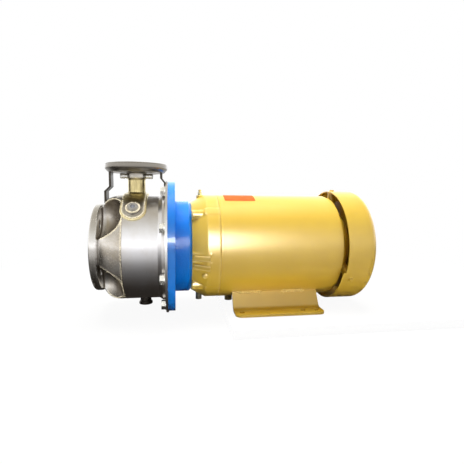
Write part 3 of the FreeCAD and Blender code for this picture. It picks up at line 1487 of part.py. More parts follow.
head = suction_head()
casing_shell()
casing_flange()
wear_ring()
discharge_nozzle()
gauge_plugs()
vent_plug()
casing_drain_plug()
discharge_supports(head)
casing_fasteners()
adapter()
face_bolts()
seal_parts()
seal_spring()
front_endbell()
grease_parts()
lip_seal()
motor_frame()
stator()
tie_bolts()
rear_endbell()
frame_drain()
fan_cover()
cover_screws()
feet()
conduit_box()
bearing("front", BEARING_X, "front_bearing_width", "front_bearing_bore", "front_bearing_outer", "front_ball",
        count("front_ball_count"))
bearing("rear", REAR_BEARING_X, "rear_bearing_width", "rear_bearing_bore", "rear_bearing_outer", "rear_ball",
        count("rear_ball_count"))
impeller()
shaft()
impeller_fasteners()
slinger()
rotor_core()
fan()
wave_spring()
doc.recompute()

for thing in doc.Objects:
    if "Invalid" in thing.State or "Error" in thing.State:
        raise RuntimeError("%s failed: %s" % (thing.Label, thing.State))
for name, thing in nodes.items():
    if thing.Shape.isNull() or not thing.Shape.isValid():
        raise RuntimeError("%s has no valid shape" % name)

os.makedirs("parts", exist_ok=True)
for name, thing in nodes.items():
    thing.Shape.exportStep(os.path.join("parts", name + ".step"))
    print("%-28s solids %2d  volume %10.0f" % (name, len(thing.Shape.Solids), thing.Shape.Volume))
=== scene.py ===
# %% [markdown]
# A close-coupled centrifugal pump, dressed in Blender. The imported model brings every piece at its
# real size, in metres, with the shaft along X and the feet on z = 0. This lesson gives the pieces
# their finishes: ground stainless steel, cast stainless, blue enamel and gold motor paint.

# %% Load the frame
import json
import math

import bmesh
import bpy
from mathutils import Matrix, Vector

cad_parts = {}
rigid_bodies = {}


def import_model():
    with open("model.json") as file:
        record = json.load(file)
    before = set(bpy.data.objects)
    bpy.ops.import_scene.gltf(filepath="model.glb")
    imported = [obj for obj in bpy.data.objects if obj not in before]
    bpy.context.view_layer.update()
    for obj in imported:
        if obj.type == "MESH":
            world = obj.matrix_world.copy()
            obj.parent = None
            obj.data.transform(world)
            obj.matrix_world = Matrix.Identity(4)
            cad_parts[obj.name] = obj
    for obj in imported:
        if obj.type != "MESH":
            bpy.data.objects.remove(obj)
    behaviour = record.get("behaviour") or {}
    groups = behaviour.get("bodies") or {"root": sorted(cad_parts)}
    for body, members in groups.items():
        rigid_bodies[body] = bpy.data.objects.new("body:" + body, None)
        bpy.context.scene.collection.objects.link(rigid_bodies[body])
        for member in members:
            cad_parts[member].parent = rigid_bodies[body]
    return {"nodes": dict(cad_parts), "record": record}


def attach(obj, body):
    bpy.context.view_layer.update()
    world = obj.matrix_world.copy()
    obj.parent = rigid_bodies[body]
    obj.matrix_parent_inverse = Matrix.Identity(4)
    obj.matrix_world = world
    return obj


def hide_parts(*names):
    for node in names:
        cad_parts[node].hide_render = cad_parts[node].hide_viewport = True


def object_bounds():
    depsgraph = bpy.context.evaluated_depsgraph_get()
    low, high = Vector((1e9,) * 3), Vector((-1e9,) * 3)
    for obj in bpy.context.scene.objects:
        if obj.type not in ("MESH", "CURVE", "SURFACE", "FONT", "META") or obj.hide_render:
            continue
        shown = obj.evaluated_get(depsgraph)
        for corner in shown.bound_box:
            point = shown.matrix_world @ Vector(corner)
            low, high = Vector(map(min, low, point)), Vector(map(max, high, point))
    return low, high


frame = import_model()
cad_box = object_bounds()
MM = 0.001
SHAFT_HEIGHT = 114.3 * MM
print("nodes in the frame:", len(frame["nodes"]))

# %% [markdown]
# The camera stands where the photographer stood: a little to the suction side of the middle,
# nine degrees off square, and looking five degrees down. Blender's camera looks along its own -Z,
# so the matrix is built from the right and up directions of the picture.

# %% Camera
CAMERA_PLACE = Vector((-0.1871, -0.7075, 0.2083))
CAMERA_YAW = 0.1576
CAMERA_PITCH = 0.0939
CAMERA_ROLL = 0.0094
PICTURE_WIDTH = 464
FOCAL_PIXELS = 355.57
SENSOR = 36.0


def add_camera():
    ahead = Vector((math.sin(CAMERA_YAW) * math.cos(CAMERA_PITCH),
                    math.cos(CAMERA_YAW) * math.cos(CAMERA_PITCH), -math.sin(CAMERA_PITCH)))
    level = Vector((math.cos(CAMERA_YAW), -math.sin(CAMERA_YAW), 0))
    above = level.cross(ahead)
    right = math.cos(CAMERA_ROLL) * level + math.sin(CAMERA_ROLL) * above
    up = math.cos(CAMERA_ROLL) * above - math.sin(CAMERA_ROLL) * level
    camera = bpy.data.objects.new("camera", bpy.data.cameras.new("camera"))
    bpy.context.scene.collection.objects.link(camera)
    turn = Matrix((right, up, -ahead)).transposed()
    camera.matrix_world = Matrix.Translation(CAMERA_PLACE) @ turn.to_4x4()
    camera.data.sensor_width = SENSOR
    camera.data.lens = FOCAL_PIXELS / PICTURE_WIDTH * SENSOR
    camera.data.clip_start = 0.01
    bpy.context.scene.camera = camera
    return camera


camera = add_camera()
print("lens:", round(camera.data.lens, 2), "mm")

# %% [markdown]
# Shader maths reads best as plain expressions. Value wraps a socket, so that `1 - mask * 0.5` adds
# the Math nodes by itself. Everything else is made by Finish.node, which sets a node's settings
# first and then its inputs, by name or number.


# %% Shader helpers
class Value:
    """A number on its way through a shader."""

    def __init__(self, finish, socket):
        self.finish = finish
        self.socket = socket

    def maths(self, operation, *others, clamp=False):
        settings = {"operation": operation, "use_clamp": clamp}
        inputs = dict(enumerate((self, *others)))
        return self.finish.node("ShaderNodeMath", settings, inputs)

    def __add__(self, other):
        return self.maths("ADD", other)

    def __mul__(self, other):
        return self.maths("MULTIPLY", other)

    def __sub__(self, other):
        return self.maths("SUBTRACT", other)

    def __truediv__(self, other):
        return self.maths("DIVIDE", other)

    def __pow__(self, other):
        return self.maths("POWER", other)

    def __rsub__(self, other):
        return self.finish.number(other).maths("SUBTRACT", self)

    __radd__ = __add__
    __rmul__ = __mul__

    def between(self, low, high):
        """0 at low, 1 at high, and straight in between."""
        settings = {"clamp": True}
        return self.finish.node("ShaderNodeMapRange", settings, {0: self, 1: low, 2: high})


class Finish:
    """One material and the nodes that make it."""

    def __init__(self, name):
        self.material = bpy.data.materials.new(name)
        self.material.use_nodes = True
        self.tree = self.material.node_tree
        self.tree.nodes.clear()
        self.shader = self.tree.nodes.new("ShaderNodeBsdfPrincipled")
        output = self.tree.nodes.new("ShaderNodeOutputMaterial")
        self.tree.links.new(self.shader.outputs[0], output.inputs[0])

    def node(self, kind, settings=None, inputs=None, out=0):
        made = self.tree.nodes.new(kind)
        for key, setting in (settings or {}).items():
            setattr(made, key, setting)
        for key, given in (inputs or {}).items():
            self.feed(made.inputs[key], given)
        return Value(self, made.outputs[out])

    def feed(self, socket, given):
        if isinstance(given, Value):
            self.tree.links.new(given.socket, socket)
        else:
            socket.default_value = given

    def number(self, given):
        return self.node("ShaderNodeMath", {"operation": "ADD"}, {0: given, 1: 0.0})

    def set(self, **sockets):
        """Feeds the shader: set(Base_Color=..., Roughness=...)."""
        for key, given in sockets.items():
            self.feed(self.shader.inputs[key.replace("_", " ")], given)
        return self

    def place(self, scale=(1, 1, 1), move=(0, 0, 0)):
        """Object coordinates, moved and then scaled."""
        here = self.node("ShaderNodeTexCoord", out="Object")
        inputs = {"Vector": here, "Location": move, "Scale": scale}
        return self.node("ShaderNodeMapping", {"vector_type": "POINT"}, inputs)

    def noise(self, where, scale, detail=4.0, roughness=0.55):
        inputs = {"Vector": where, "Scale": scale, "Detail": detail, "Roughness": roughness}
        return self.node("ShaderNodeTexNoise", {}, inputs, out=0)

    def mix(self, share, first, second):
        """A colour between two colours."""
        inputs = {0: share, 6: first, 7: second}
        return self.node("ShaderNodeMix", {"data_type": "RGBA"}, inputs, out=2)

    def bump(self, height, distance, strength=1.0, before=None):
        inputs = {"Height": height, "Distance": distance, "Strength": strength}
        if before is not None:
            inputs["Normal"] = before
        return self.node("ShaderNodeBump", {}, inputs)

    def mark(self, name):
        """A number that the mesh keeps at each of its points."""
        return self.node("ShaderNodeAttribute", {"attribute_name": name}, {}, out="Fac")

    def along(self, axis):
        """One of the three object coordinates: X, Y or Z."""
        here = self.node("ShaderNodeTexCoord", out="Object")
        return self.node("ShaderNodeSeparateXYZ", {}, {0: here}, out=axis)

    def band(self, where, middle, half):
        """1 in the middle of a band, 0 outside it."""
        return 1 - (where - middle).maths("ABSOLUTE").between(half * 0.4, half)


def colour(red, green, blue):
    """A colour picked as it looks on the screen, from 0 to 255, made linear for the shader."""
    def linear(level):
        level = level / 255
        return level / 12.92 if level <= 0.04045 else ((level + 0.055) / 1.055) ** 2.4
    return (linear(red), linear(green), linear(blue), 1.0)


# %% [markdown]
# The casing drum is turned and polished, so its grain runs round the shaft. In object coordinates
# that is a pattern that changes fast along X and hardly at all across it. The grain moves the
# roughness and the bump a little, which breaks a highlight into fine streaks. The drum meets the
# head at a dark seam, which the same material draws where the two meet.


# %% Ground stainless
SEAM_X = -277.5 * MM
SEAM_HALF = 0.9 * MM


def ground_stainless(name, tint, stain, rough=0.3, grain=1.0):
    steel = Finish(name)
    rings = steel.noise(steel.place(scale=(1, 0.03, 0.03)), 1500, detail=4)
    streaks = steel.noise(steel.place(scale=(1, 0.12, 0.12)), 160, detail=4)
    cloud = steel.noise(steel.place(), 22, detail=5)
    seam = steel.band(steel.along("X"), SEAM_X, SEAM_HALF)
    clean = steel.mix(cloud.between(0.4, 0.7) * 0.8, tint, stain)
    steel.set(
        Base_Color=steel.mix(seam * 0.8, clean, colour(52, 44, 36)),
        Metallic=1.0,
        Roughness=rings * 0.10 * grain + streaks * 0.08 + seam * 0.2 + (rough - 0.09),
        Normal=steel.bump(rings, 0.00001 * grain, 0.35))
    return steel.material


drum_steel = ground_stainless("ground_stainless", colour(208, 206, 207), colour(190, 183, 174))
plate_steel = ground_stainless("plate_stainless", colour(214, 212, 210), colour(190, 184, 174), grain=0.5)

# %% [markdown]
# Cast parts have no grain, only the fine pitting of the mould, and brown stains from handling and
# from the heat of the welds. Edges are painted paler, partly as wear and partly as a painted
# highlight, and hollows darker, as a painted shade. edge_marks, further down, leaves a number
# called ridge on each point of a cast piece, and one called hollow, to place them.


# %% Cast stainless
NECK_LOW = 198 * MM
NECK_HIGH = 243 * MM
FLANGE_BACK_X = -316 * MM


def cast_stainless(name, tint, stain, rough=0.3, straw=None):
    """Cast steel. Where straw is given, the neck between saddle and collar takes that colour, and the flange above
    the collar is painted a darker grey, a painted shade.
    """
    steel = Finish(name)
    grit = steel.noise(steel.place(), 620, detail=3)
    dents = steel.noise(steel.place(), 48, detail=3)
    cloud = steel.noise(steel.place(), 30, detail=6)
    ridge = steel.mark("ridge")
    hollow = steel.mark("hollow")
    turned = 1 - steel.along("X").between(FLANGE_BACK_X, FLANGE_BACK_X + 4 * MM)
    ridge = ridge * (1 - turned * 0.75)
    skin = steel.mix(cloud.between(0.36, 0.66), tint, stain)
    skin = steel.mix(turned * 0.7, skin, colour(192, 189, 185))
    if straw is not None:
        height = steel.along("Z")
        neck = height.between(NECK_LOW, NECK_LOW + 8 * MM) * (1 - height.between(NECK_HIGH, NECK_HIGH + 4 * MM))
        streaks = steel.noise(steel.place(scale=(1, 1, 0.2)), 90, detail=3)
        skin = steel.mix(neck, skin, steel.mix(streaks.between(0.45, 0.7) * 0.6, straw, colour(96, 82, 56)))
        # The flange above the collar is painted dark grey, a painted shade for its shaded underside, and its
        # ridges get less of the painted highlight.
        top = height.between(NECK_HIGH + 10 * MM, NECK_HIGH + 14 * MM)
        skin = steel.mix(top, skin, colour(120, 115, 107))
        ridge = ridge * (1 - top * 0.7)
    # Ridges are painted pale, partly wear and partly a painted highlight.
    wear_and_highlight = steel.mix(ridge.between(0.2, 0.95), skin, colour(242, 230, 200))
    # Hollows are painted dark brown, a painted shade.
    steel.set(
        Base_Color=steel.mix(hollow * 0.5, wear_and_highlight, colour(84, 70, 52)),
        Metallic=1 - ridge * 0.6,
        Roughness=cloud * 0.14 + grit * 0.06 + hollow * 0.15 - turned * 0.04 + (rough - 0.1),
        Normal=steel.bump(grit, 0.00002, 0.3, before=steel.bump(dents * (1 - turned), 0.0003, 0.5)))
    return steel.material


head_steel = cast_stainless("cast_stainless", colour(184, 179, 172), colour(152, 141, 124), rough=0.27)
nozzle_steel = cast_stainless("nozzle_stainless", colour(182, 177, 168), colour(140, 132, 120), rough=0.3,
                              straw=colour(206, 190, 138))
# The straps are painted dark grey-brown, a painted shade for straps in the shade of the discharge flange.
strap_steel = ground_stainless("strap_stainless", colour(66, 61, 54), colour(48, 44, 38), rough=0.42)
# The saddle weld is painted pale cream, a painted highlight along the bead, with straw stains.
weld_steel = cast_stainless("weld_stainless", colour(238, 226, 184), colour(196, 176, 124), rough=0.3)

# %% [markdown]
# The paints are films over iron. Gold motor paint carries fine flakes, so it is part metallic. The
# blue enamel is a plain glossy colour, and lumpy where it covers the rough casting of the ring
# between the two machined flanges.


# %% Paints
def gold_paint(name):
    paint = Finish(name)
    flakes = paint.noise(paint.place(), 3800, detail=1)
    peel = paint.noise(paint.place(), 420, detail=2)
    cloud = paint.noise(paint.place(), 9, detail=4)
    dust = paint.noise(paint.place(), 60, detail=5)
    ridge = paint.mark("ridge")
    hollow = paint.mark("hollow")
    base = paint.mix(cloud.between(0.3, 0.7), colour(208, 172, 50), colour(200, 163, 42))
    dusty = paint.mix(dust.between(0.62, 0.9) * 0.3, base, colour(190, 160, 90))
    # Ridges are painted paler, partly wear and partly a painted highlight; hollows are painted dark brown, a
    # painted shade.
    wear_and_highlight = paint.mix(ridge.between(0.1, 0.9) * 0.3, dusty, colour(255, 236, 170))
    paint.set(
        Base_Color=paint.mix(hollow * 0.5, wear_and_highlight, colour(120, 88, 24)),
        Metallic=0.08,
        Roughness=flakes * 0.08 + dust * 0.06 + 0.29,
        Coat_Weight=0.55,
        Coat_Roughness=0.3,
        Normal=paint.bump(peel, 0.00003, 0.5))
    return paint.material


CAST_RING_X = (-187.6 * MM, -163.6 * MM)
CAST_RING_RADIUS = 96 * MM


def blue_enamel(name):
    paint = Finish(name)
    lumps = paint.noise(paint.place(), 300, detail=5, roughness=0.65)
    runs = paint.noise(paint.place(), 46, detail=3)
    cloud = paint.noise(paint.place(), 14, detail=4)
    along = paint.along("X")
    rough_cast = along.between(CAST_RING_X[0], CAST_RING_X[0] + MM) * (
        1 - along.between(CAST_RING_X[1] - MM, CAST_RING_X[1]))
    lumpy = paint.bump(lumps * rough_cast, 0.0006, 0.9, before=paint.bump(runs, 0.0003, 0.25))
    paint.set(
        Base_Color=paint.mix(cloud.between(0.3, 0.7), colour(4, 112, 206), colour(7, 121, 217)),
        Roughness=cloud * 0.06 - rough_cast * 0.15 + 0.28,
        Coat_Weight=(1 - rough_cast) * 0.35,
        Coat_Roughness=0.07,
        Normal=lumpy)
    paint.shader.inputs["Specular IOR Level"].default_value = 0.32
    return paint.material


gold = gold_paint("gold_paint")
blue = blue_enamel("blue_enamel")

# %% [markdown]
# Small parts share a few plain finishes: plated steel, dark plugs, brass, rubber and moulded
# plastic. Each has a little variation in its roughness, as handling leaves on any part.


# %% Small finishes
def plain_finish(name, tint, metallic, rough, wear=0.12, scale=120):
    plain = Finish(name)
    cloud = plain.noise(plain.place(), scale, detail=4)
    darker = tuple(level * 0.72 for level in tint[:3]) + (1.0,)
    plain.set(
        Base_Color=plain.mix(cloud.between(0.35, 0.75), tint, darker),
        Metallic=metallic,
        Roughness=cloud * wear + (rough - wear / 2),
        Normal=plain.bump(cloud, 0.00004, 0.4))
    return plain.material


zinc = plain_finish("zinc_plate", colour(246, 244, 238), 0.9, 0.26)
dark_plug = plain_finish("dark_plug", colour(84, 78, 72), 1.0, 0.36)
brass = plain_finish("turned_brass", colour(240, 216, 150), 1.0, 0.3)
machined = plain_finish("machined_steel", colour(190, 190, 192), 1.0, 0.22)
lamination = plain_finish("lamination", colour(120, 120, 124), 1.0, 0.4)
copper = plain_finish("varnished_copper", colour(168, 92, 48), 0.6, 0.3)
rubber = plain_finish("moulded_rubber", colour(34, 34, 36), 0.0, 0.6)
ceramic = plain_finish("seal_ceramic", colour(226, 222, 210), 0.0, 0.2)
fan_plastic = plain_finish("fan_plastic", colour(172, 140, 52), 0.0, 0.48)
orange_film = plain_finish("orange_film", colour(234, 86, 0), 0.0, 0.75, wear=0.08, scale=60)
# The beads are painted lighter than the gold, a painted highlight on beads that sit in shade under the frame's
# edge.
bead_highlight_paint = plain_finish("bead_highlight_paint", colour(255, 226, 140), 0.0, 0.34)
olive_plug = plain_finish("olive_plug", colour(120, 100, 44), 0.1, 0.4)
grey_plug = plain_finish("grey_plug", colour(178, 168, 140), 0.2, 0.34)

# %% [markdown]
# Every node of the frame gets the finish of its material slot. The record names those slots. Most
# nodes keep their exact machined shape: a copy is joined up from loose triangles and shaded smooth,
# with its edges kept where two faces meet at more than 28 degrees.

# %% Copies of the nodes
FINISHES = {
    "stainless": drum_steel, "stainless_cast": head_steel, "blue_paint": blue, "gold_paint": gold,
    "zinc": zinc, "dark_plug": dark_plug, "brass": brass, "steel": machined, "lamination": lamination,
    "copper": copper, "rubber": rubber, "seal_face": ceramic, "fan_plastic": fan_plastic,
}
SHARP_EDGE = math.radians(28)
MERGE_REACH = 0.001 * MM
slots = {part["node"]: part["material_slot"] for part in frame["record"]["subparts"]}
bodies = {name: body for body, names in frame["record"]["behaviour"]["bodies"].items() for name in names}


def to_object(mesh, name):
    """Shades a bmesh smooth between its sharp edges and makes it an object."""
    for face in mesh.faces:
        face.smooth = True
    for edge in mesh.edges:
        if len(edge.link_faces) == 2:
            edge.smooth = edge.calc_face_angle(0.0) < SHARP_EDGE
    data = bpy.data.meshes.new(name)
    mesh.to_mesh(data)
    mesh.free()
    piece = bpy.data.objects.new(name, data)
    bpy.context.scene.collection.objects.link(piece)
    return piece


def merged(name):
    mesh = bmesh.new()
    mesh.from_mesh(frame["nodes"][name].data)
    bmesh.ops.remove_doubles(mesh, verts=mesh.verts, dist=MERGE_REACH)
    return mesh


def dress(piece, finish, body, slot, *nodes):
    """Gives a piece its finish, parents it to the body it rides on, and hides the nodes it stands for."""
    piece.data.materials.clear()
    piece.data.materials.append(finish)
    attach(piece, body)
    for name in nodes:
        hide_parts(name)
    return piece


# %% [markdown]
# The suction head and the front end bell are castings, with soft edges that a machined solid lacks.
# A voxel remesh turns each into even quads, and smoothing rounds every edge by a couple of
# millimetres. On even quads the bend of the surface at a point is easy to measure: it is how far
# the neighbours fall away from the point's own normal. That number, spread a little, tells the
# finish where to paint an edge paler, partly as wear and partly as a painted highlight, and where
# to paint a hollow darker, as a painted shade.

# %% Soft castings
CAST_VOXELS = {"suction_head": 1.25 * MM, "front_endbell": 1.55 * MM, "discharge_nozzle": 1.25 * MM}
RIDGE_REACH = 8.5 * MM
SPREAD_ROUNDS = 6


def cast_copy(name, rounds):
    """A node's copy with a cast skin: voxel quads, smoothed."""
    rough = to_object(merged(name), name + "_rough")
    remesh = rough.modifiers.new("even quads", "REMESH")
    remesh.mode = "VOXEL"
    remesh.voxel_size = CAST_VOXELS[name]
    soften = rough.modifiers.new("soft edges", "SMOOTH")
    soften.factor = 0.5
    soften.iterations = rounds
    bpy.context.view_layer.update()
    data = bpy.data.meshes.new_from_object(rough.evaluated_get(bpy.context.evaluated_depsgraph_get()))
    bpy.data.objects.remove(rough)
    edge_marks(data)
    piece = bpy.data.objects.new(name + "_cast", data)
    bpy.context.scene.collection.objects.link(piece)
    return piece


def edge_marks(data):
    mesh = bmesh.new()
    mesh.from_mesh(data)
    mesh.verts.ensure_lookup_table()
    bend = []
    around = []
    for vert in mesh.verts:
        others = [edge.other_vert(vert) for edge in vert.link_edges]
        around.append([other.index for other in others])
        lean = sum((other.co - vert.co).dot(vert.normal) / max((other.co - vert.co).length_squared, 1e-12)
                   for other in others)
        bend.append(lean / max(len(others), 1))
    for _ in range(SPREAD_ROUNDS):
        bend = [(bend[index] + sum(bend[other] for other in others)) / (len(others) + 1)
                for index, others in enumerate(around)]
    for face in mesh.faces:
        face.smooth = True
    mesh.to_mesh(data)
    mesh.free()
    for name, sign in (("ridge", -1), ("hollow", 1)):
        marks = data.attributes.new(name, "FLOAT", "POINT")
        marks.data.foreach_set("value", [min(max(sign * lean * RIDGE_REACH, 0), 1) for lean in bend])


CAST_NODES = {"suction_head": 5, "front_endbell": 3, "discharge_nozzle": 1}
CAST_FINISH = {"suction_head": head_steel, "front_endbell": gold, "discharge_nozzle": nozzle_steel}
for name, rounds in CAST_NODES.items():
    piece = dress(cast_copy(name, rounds), CAST_FINISH[name], bodies[name], slots[name], name)
    print(name, "quads:", len(piece.data.polygons))

# %% [markdown]
# The other nodes keep their shapes. Those that get a piece of their own further down are left out.

# %% Plain nodes
OWN_FINISH = {"casing_flange": plate_steel, "vent_plug": machined,
              "grease_relief_plug": grey_plug, "frame_drain_plug": olive_plug,
              "discharge_support_front": strap_steel, "discharge_support_rear": strap_steel}
REBUILT = ("casing_bolts", "foot_welds", "fan_cover_screws", "grease_fitting", "conduit_screws", "gauge_plugs")
for name in frame["nodes"]:
    if name in CAST_NODES or name in REBUILT:
        continue
    finish = OWN_FINISH.get(name, FINISHES[slots[name]])
    dress(to_object(merged(name), name + "_skin"), finish, bodies[name], slots[name], name)
print("dressed:", len(slots))

# %% [markdown]
# Bolts, screws and fittings are turned parts. An outline of radius and height, spun round the
# Z axis, makes each one lying at the origin, and a matrix then carries it to its place: `aimed`
# turns Z to the outward direction and moves the foot of the part to its seat.


# %% Turned parts
def aimed(place, direction):
    turn = Vector(direction).to_track_quat("Z", "X").to_matrix().to_4x4()
    return Matrix.Translation(place) @ turn


def turn_part(mesh, outline, matrix, steps=32):
    """Spins an outline of (radius, height) pairs, in millimetres, round Z."""
    verts = [mesh.verts.new((radius * MM, 0, height * MM)) for radius, height in outline]
    edges = [mesh.edges.new(pair) for pair in zip(verts, verts[1:])]
    made = bmesh.ops.spin(mesh, geom=verts + edges, cent=(0, 0, 0), axis=(0, 0, 1), angle=math.tau,
                          steps=steps, use_merge=True)
    fresh = set(verts) | {part for part in made["geom_last"] if isinstance(part, bmesh.types.BMVert)}
    found = set(fresh)
    front = list(fresh)
    while front:
        vert = front.pop()
        for edge in vert.link_edges:
            other = edge.other_vert(vert)
            if other not in found:
                found.add(other)
                front.append(other)
    bmesh.ops.transform(mesh, matrix=matrix, verts=list(found))
    bmesh.ops.remove_doubles(mesh, verts=list(found), dist=MERGE_REACH)


def hexagon(mesh, corner, height, matrix, chamfer=0.7):
    """A hexagon nut or bolt head, in millimetres, its outer corners cut back."""
    made = bmesh.ops.create_cone(mesh, cap_ends=True, segments=6, radius1=corner * MM, radius2=corner * MM,
                                 depth=height * MM, matrix=Matrix.Translation((0, 0, height * MM / 2)))
    verts = made["verts"]
    top = [edge for vert in verts for edge in vert.link_edges
           if all(end.co.z > height * MM * 0.9 for end in edge.verts)]
    cut = bmesh.ops.bevel(mesh, geom=list(set(top)), offset=chamfer * MM, segments=2, profile=0.5,
                          affect="EDGES", material=-1)
    whole = {vert for face in cut["faces"] for vert in face.verts}
    front = list(whole)
    while front:
        vert = front.pop()
        for edge in vert.link_edges:
            other = edge.other_vert(vert)
            if other not in whole:
                whole.add(other)
                front.append(other)
    bmesh.ops.transform(mesh, matrix=matrix, verts=list(whole))


def add_part(name, build, finish, body, slot, *nodes):
    """Builds a bmesh, turns its faces outwards, and dresses the piece it makes."""
    mesh = bmesh.new()
    build(mesh)
    bmesh.ops.recalc_face_normals(mesh, faces=mesh.faces)
    return dress(to_object(mesh, name), finish, body, slot, *nodes)


def round_shaft(x, radius, angle):
    """A place by its millimetres along and from the shaft, and its degrees from the top."""
    lean = math.radians(angle)
    return Vector((x * MM, -radius * MM * math.sin(lean), SHAFT_HEIGHT + radius * MM * math.cos(lean)))


def outward(angle):
    lean = math.radians(angle)
    return Vector((0, -math.sin(lean), math.cos(lean)))


# %% [markdown]
# Eight bolts hold the casing against the blue adapter. Each has a chamfered hexagon head on a
# washer face, and its plain shank runs through the ring into the adapter.

# %% Casing bolts
BOLT_CIRCLE = 114.3
BOLT_SEAT_X = -207.1
BOLT_HEAD = 7.2


def casing_bolts(mesh):
    for step in range(8):
        angle = 22.5 + 45 * step
        seat = aimed(round_shaft(BOLT_SEAT_X, BOLT_CIRCLE, angle), (-1, 0, 0))
        hexagon(mesh, 9.2, BOLT_HEAD, seat)
        turn_part(mesh, [(0, BOLT_HEAD), (4.2, BOLT_HEAD), (4.6, BOLT_HEAD - 0.4)], seat)
        turn_part(mesh, [(0, -18.9), (4.2, -18.9), (4.98, -18.1), (4.98, 0.5), (0, 0.5)], seat)


add_part("casing_bolt_set", casing_bolts, zinc, "frame", "zinc", "casing_bolts")

# %% [markdown]
# On each side of the motor two broad cast ribs stand on the cone of the front bell. Each is one
# rounded section, carried from the face of the blue ring out past the shoulder of the bell.

# %% Bell ribs
RIB_START = -154.4
RIB_END = -127.6
RIB_TURNS = ((93.2, 99.6), (103.4, 109.6))


def bell_ribs(mesh):
    ridge = mesh.verts.layers.float.new("ridge")
    hollow = mesh.verts.layers.float.new("hollow")
    stations = ((RIB_START, 84, 92.5), (RIB_START + 10, 86, 97.2), (RIB_START + 21, 92, 101.9),
                (RIB_END - 1, 95, 102.4), (RIB_END, 95, 101.4))
    for side in (1, -1):
        for low, high in RIB_TURNS:
            loops = []
            for x, foot, top in stations:
                outline = ((low, foot), (low + 0.2, top - 1.6), (low + 0.9, top - 0.3), (low + 2.2, top),
                           (high - 2.2, top), (high - 0.9, top - 0.3), (high - 0.2, top - 1.6), (high, foot))
                loop = [mesh.verts.new(round_shaft(x, radius, side * angle)) for angle, radius in outline]
                # Top edges get the ridge mark and feet the hollow mark, which the gold paint turns into a painted
                # highlight and a painted shade.
                for vert, edge, dip in zip(loop, (0, 0, 1, 0, 0, 1, 0, 0), (1, 1, 0, 0.5, 0.5, 0, 1, 1)):
                    vert[ridge] = edge
                    vert[hollow] = dip
                loops.append([mesh.edges.new(pair) for pair in zip(loop, loop[1:] + loop[:1])])
            for near, far in zip(loops, loops[1:]):
                bmesh.ops.bridge_loops(mesh, edges=near + far)
            bmesh.ops.contextual_create(mesh, geom=loops[0])
            bmesh.ops.contextual_create(mesh, geom=loops[-1])


add_part("front_bell_ribs", bell_ribs, gold, "frame", "gold_paint")

# %% [markdown]
# The fan cover is held by three screws through its rim into lugs on the rear bell. Their washer
# heads are painted over with the rest of the motor.


# %% Cover screws
def cover_screws(mesh):
    for angle in (0, 120, 240):
        seat = aimed(round_shaft(135.5, 110.4, angle), outward(angle))
        turn_part(mesh, [(0, -11), (2.2, -11), (2.55, -10.4), (2.55, 0.2), (5.2, 0.2), (5.2, 0.7), (4.8, 1.0),
                         (0, 1.0)], seat)
        hexagon(mesh, 4.4, 3.3, seat, chamfer=0.5)


add_part("cover_screw_set", cover_screws, gold, "frame", "gold_paint", "fan_cover_screws")

# %% [markdown]
# The grease fitting on top of the front bell is a turned nipple with a hexagon at its foot and a
# ball-shaped end that the grease gun snaps over.


# %% Grease fitting
def grease_fitting(mesh):
    seat = aimed(round_shaft(-140, 100.4, 0), (0, 0, 1))
    turn_part(mesh, [(0, -6), (2.4, -6), (2.4, 0), (3.6, 0), (3.6, 1), (3.6, 5.2), (2.3, 6.2), (2.3, 7.2),
                     (3.0, 8.0), (3.2, 8.8), (2.6, 9.9), (1.6, 10.5), (0, 10.6)], seat)
    hexagon(mesh, 4.3, 4.4, seat, chamfer=0.4)


add_part("grease_nipple", grease_fitting, brass, "frame", "brass", "grease_fitting")


# %% [markdown]
# Two short plugs close the gauge tappings in the collar under the discharge flange. Each is a
# knurled round bar with a turned groove and a dished end.

# %% Gauge plugs
GAUGE_HEIGHT = 249.1


def gauge_plugs(mesh):
    for side in (-1, 1):
        foot = Vector((-260.2 * MM + side * 17.3 * MM, 0, GAUGE_HEIGHT * MM))
        turn_part(mesh, [(0, -3), (2.9, -3), (2.9, 0), (5.1, 0.1), (5.1, 2.4), (4.5, 2.9), (4.5, 3.6), (5.2, 4.2),
                         (5.2, 12.2), (4.6, 13.0), (3.0, 13.0), (2.6, 12.4), (0, 12.3)], aimed(foot, (side, 0, 0)))


add_part("gauge_plug_pair", gauge_plugs, zinc, "frame", "zinc", "gauge_plugs")

# %% [markdown]
# The four screws of the conduit box's cover have domed heads with a cross cut into them.


# %% Conduit screws
def conduit_screws(mesh):
    for x in (-41, 41):
        for z in (-33, 33):
            seat = aimed((x * MM, 155.5 * MM, SHAFT_HEIGHT + z * MM), (0, 1, 0))
            turn_part(mesh, [(0, -13), (1.9, -13), (1.9, 0), (4.1, 0), (4.2, 0.6), (3.9, 1.6), (2.8, 2.4),
                             (1.2, 2.6), (0.9, 1.4), (0, 1.2)], seat, steps=24)


add_part("conduit_screw_set", conduit_screws, zinc, "frame", "zinc", "conduit_screws")

# %% [markdown]
# A weld bead is a row of small waves of metal. Here a ring of edges is pulled along a path, and its
# size swells and shrinks as it goes, which leaves the ripples. The same tool lays the beads under
# the motor, round the saddle of the discharge and along the seams of the drum.


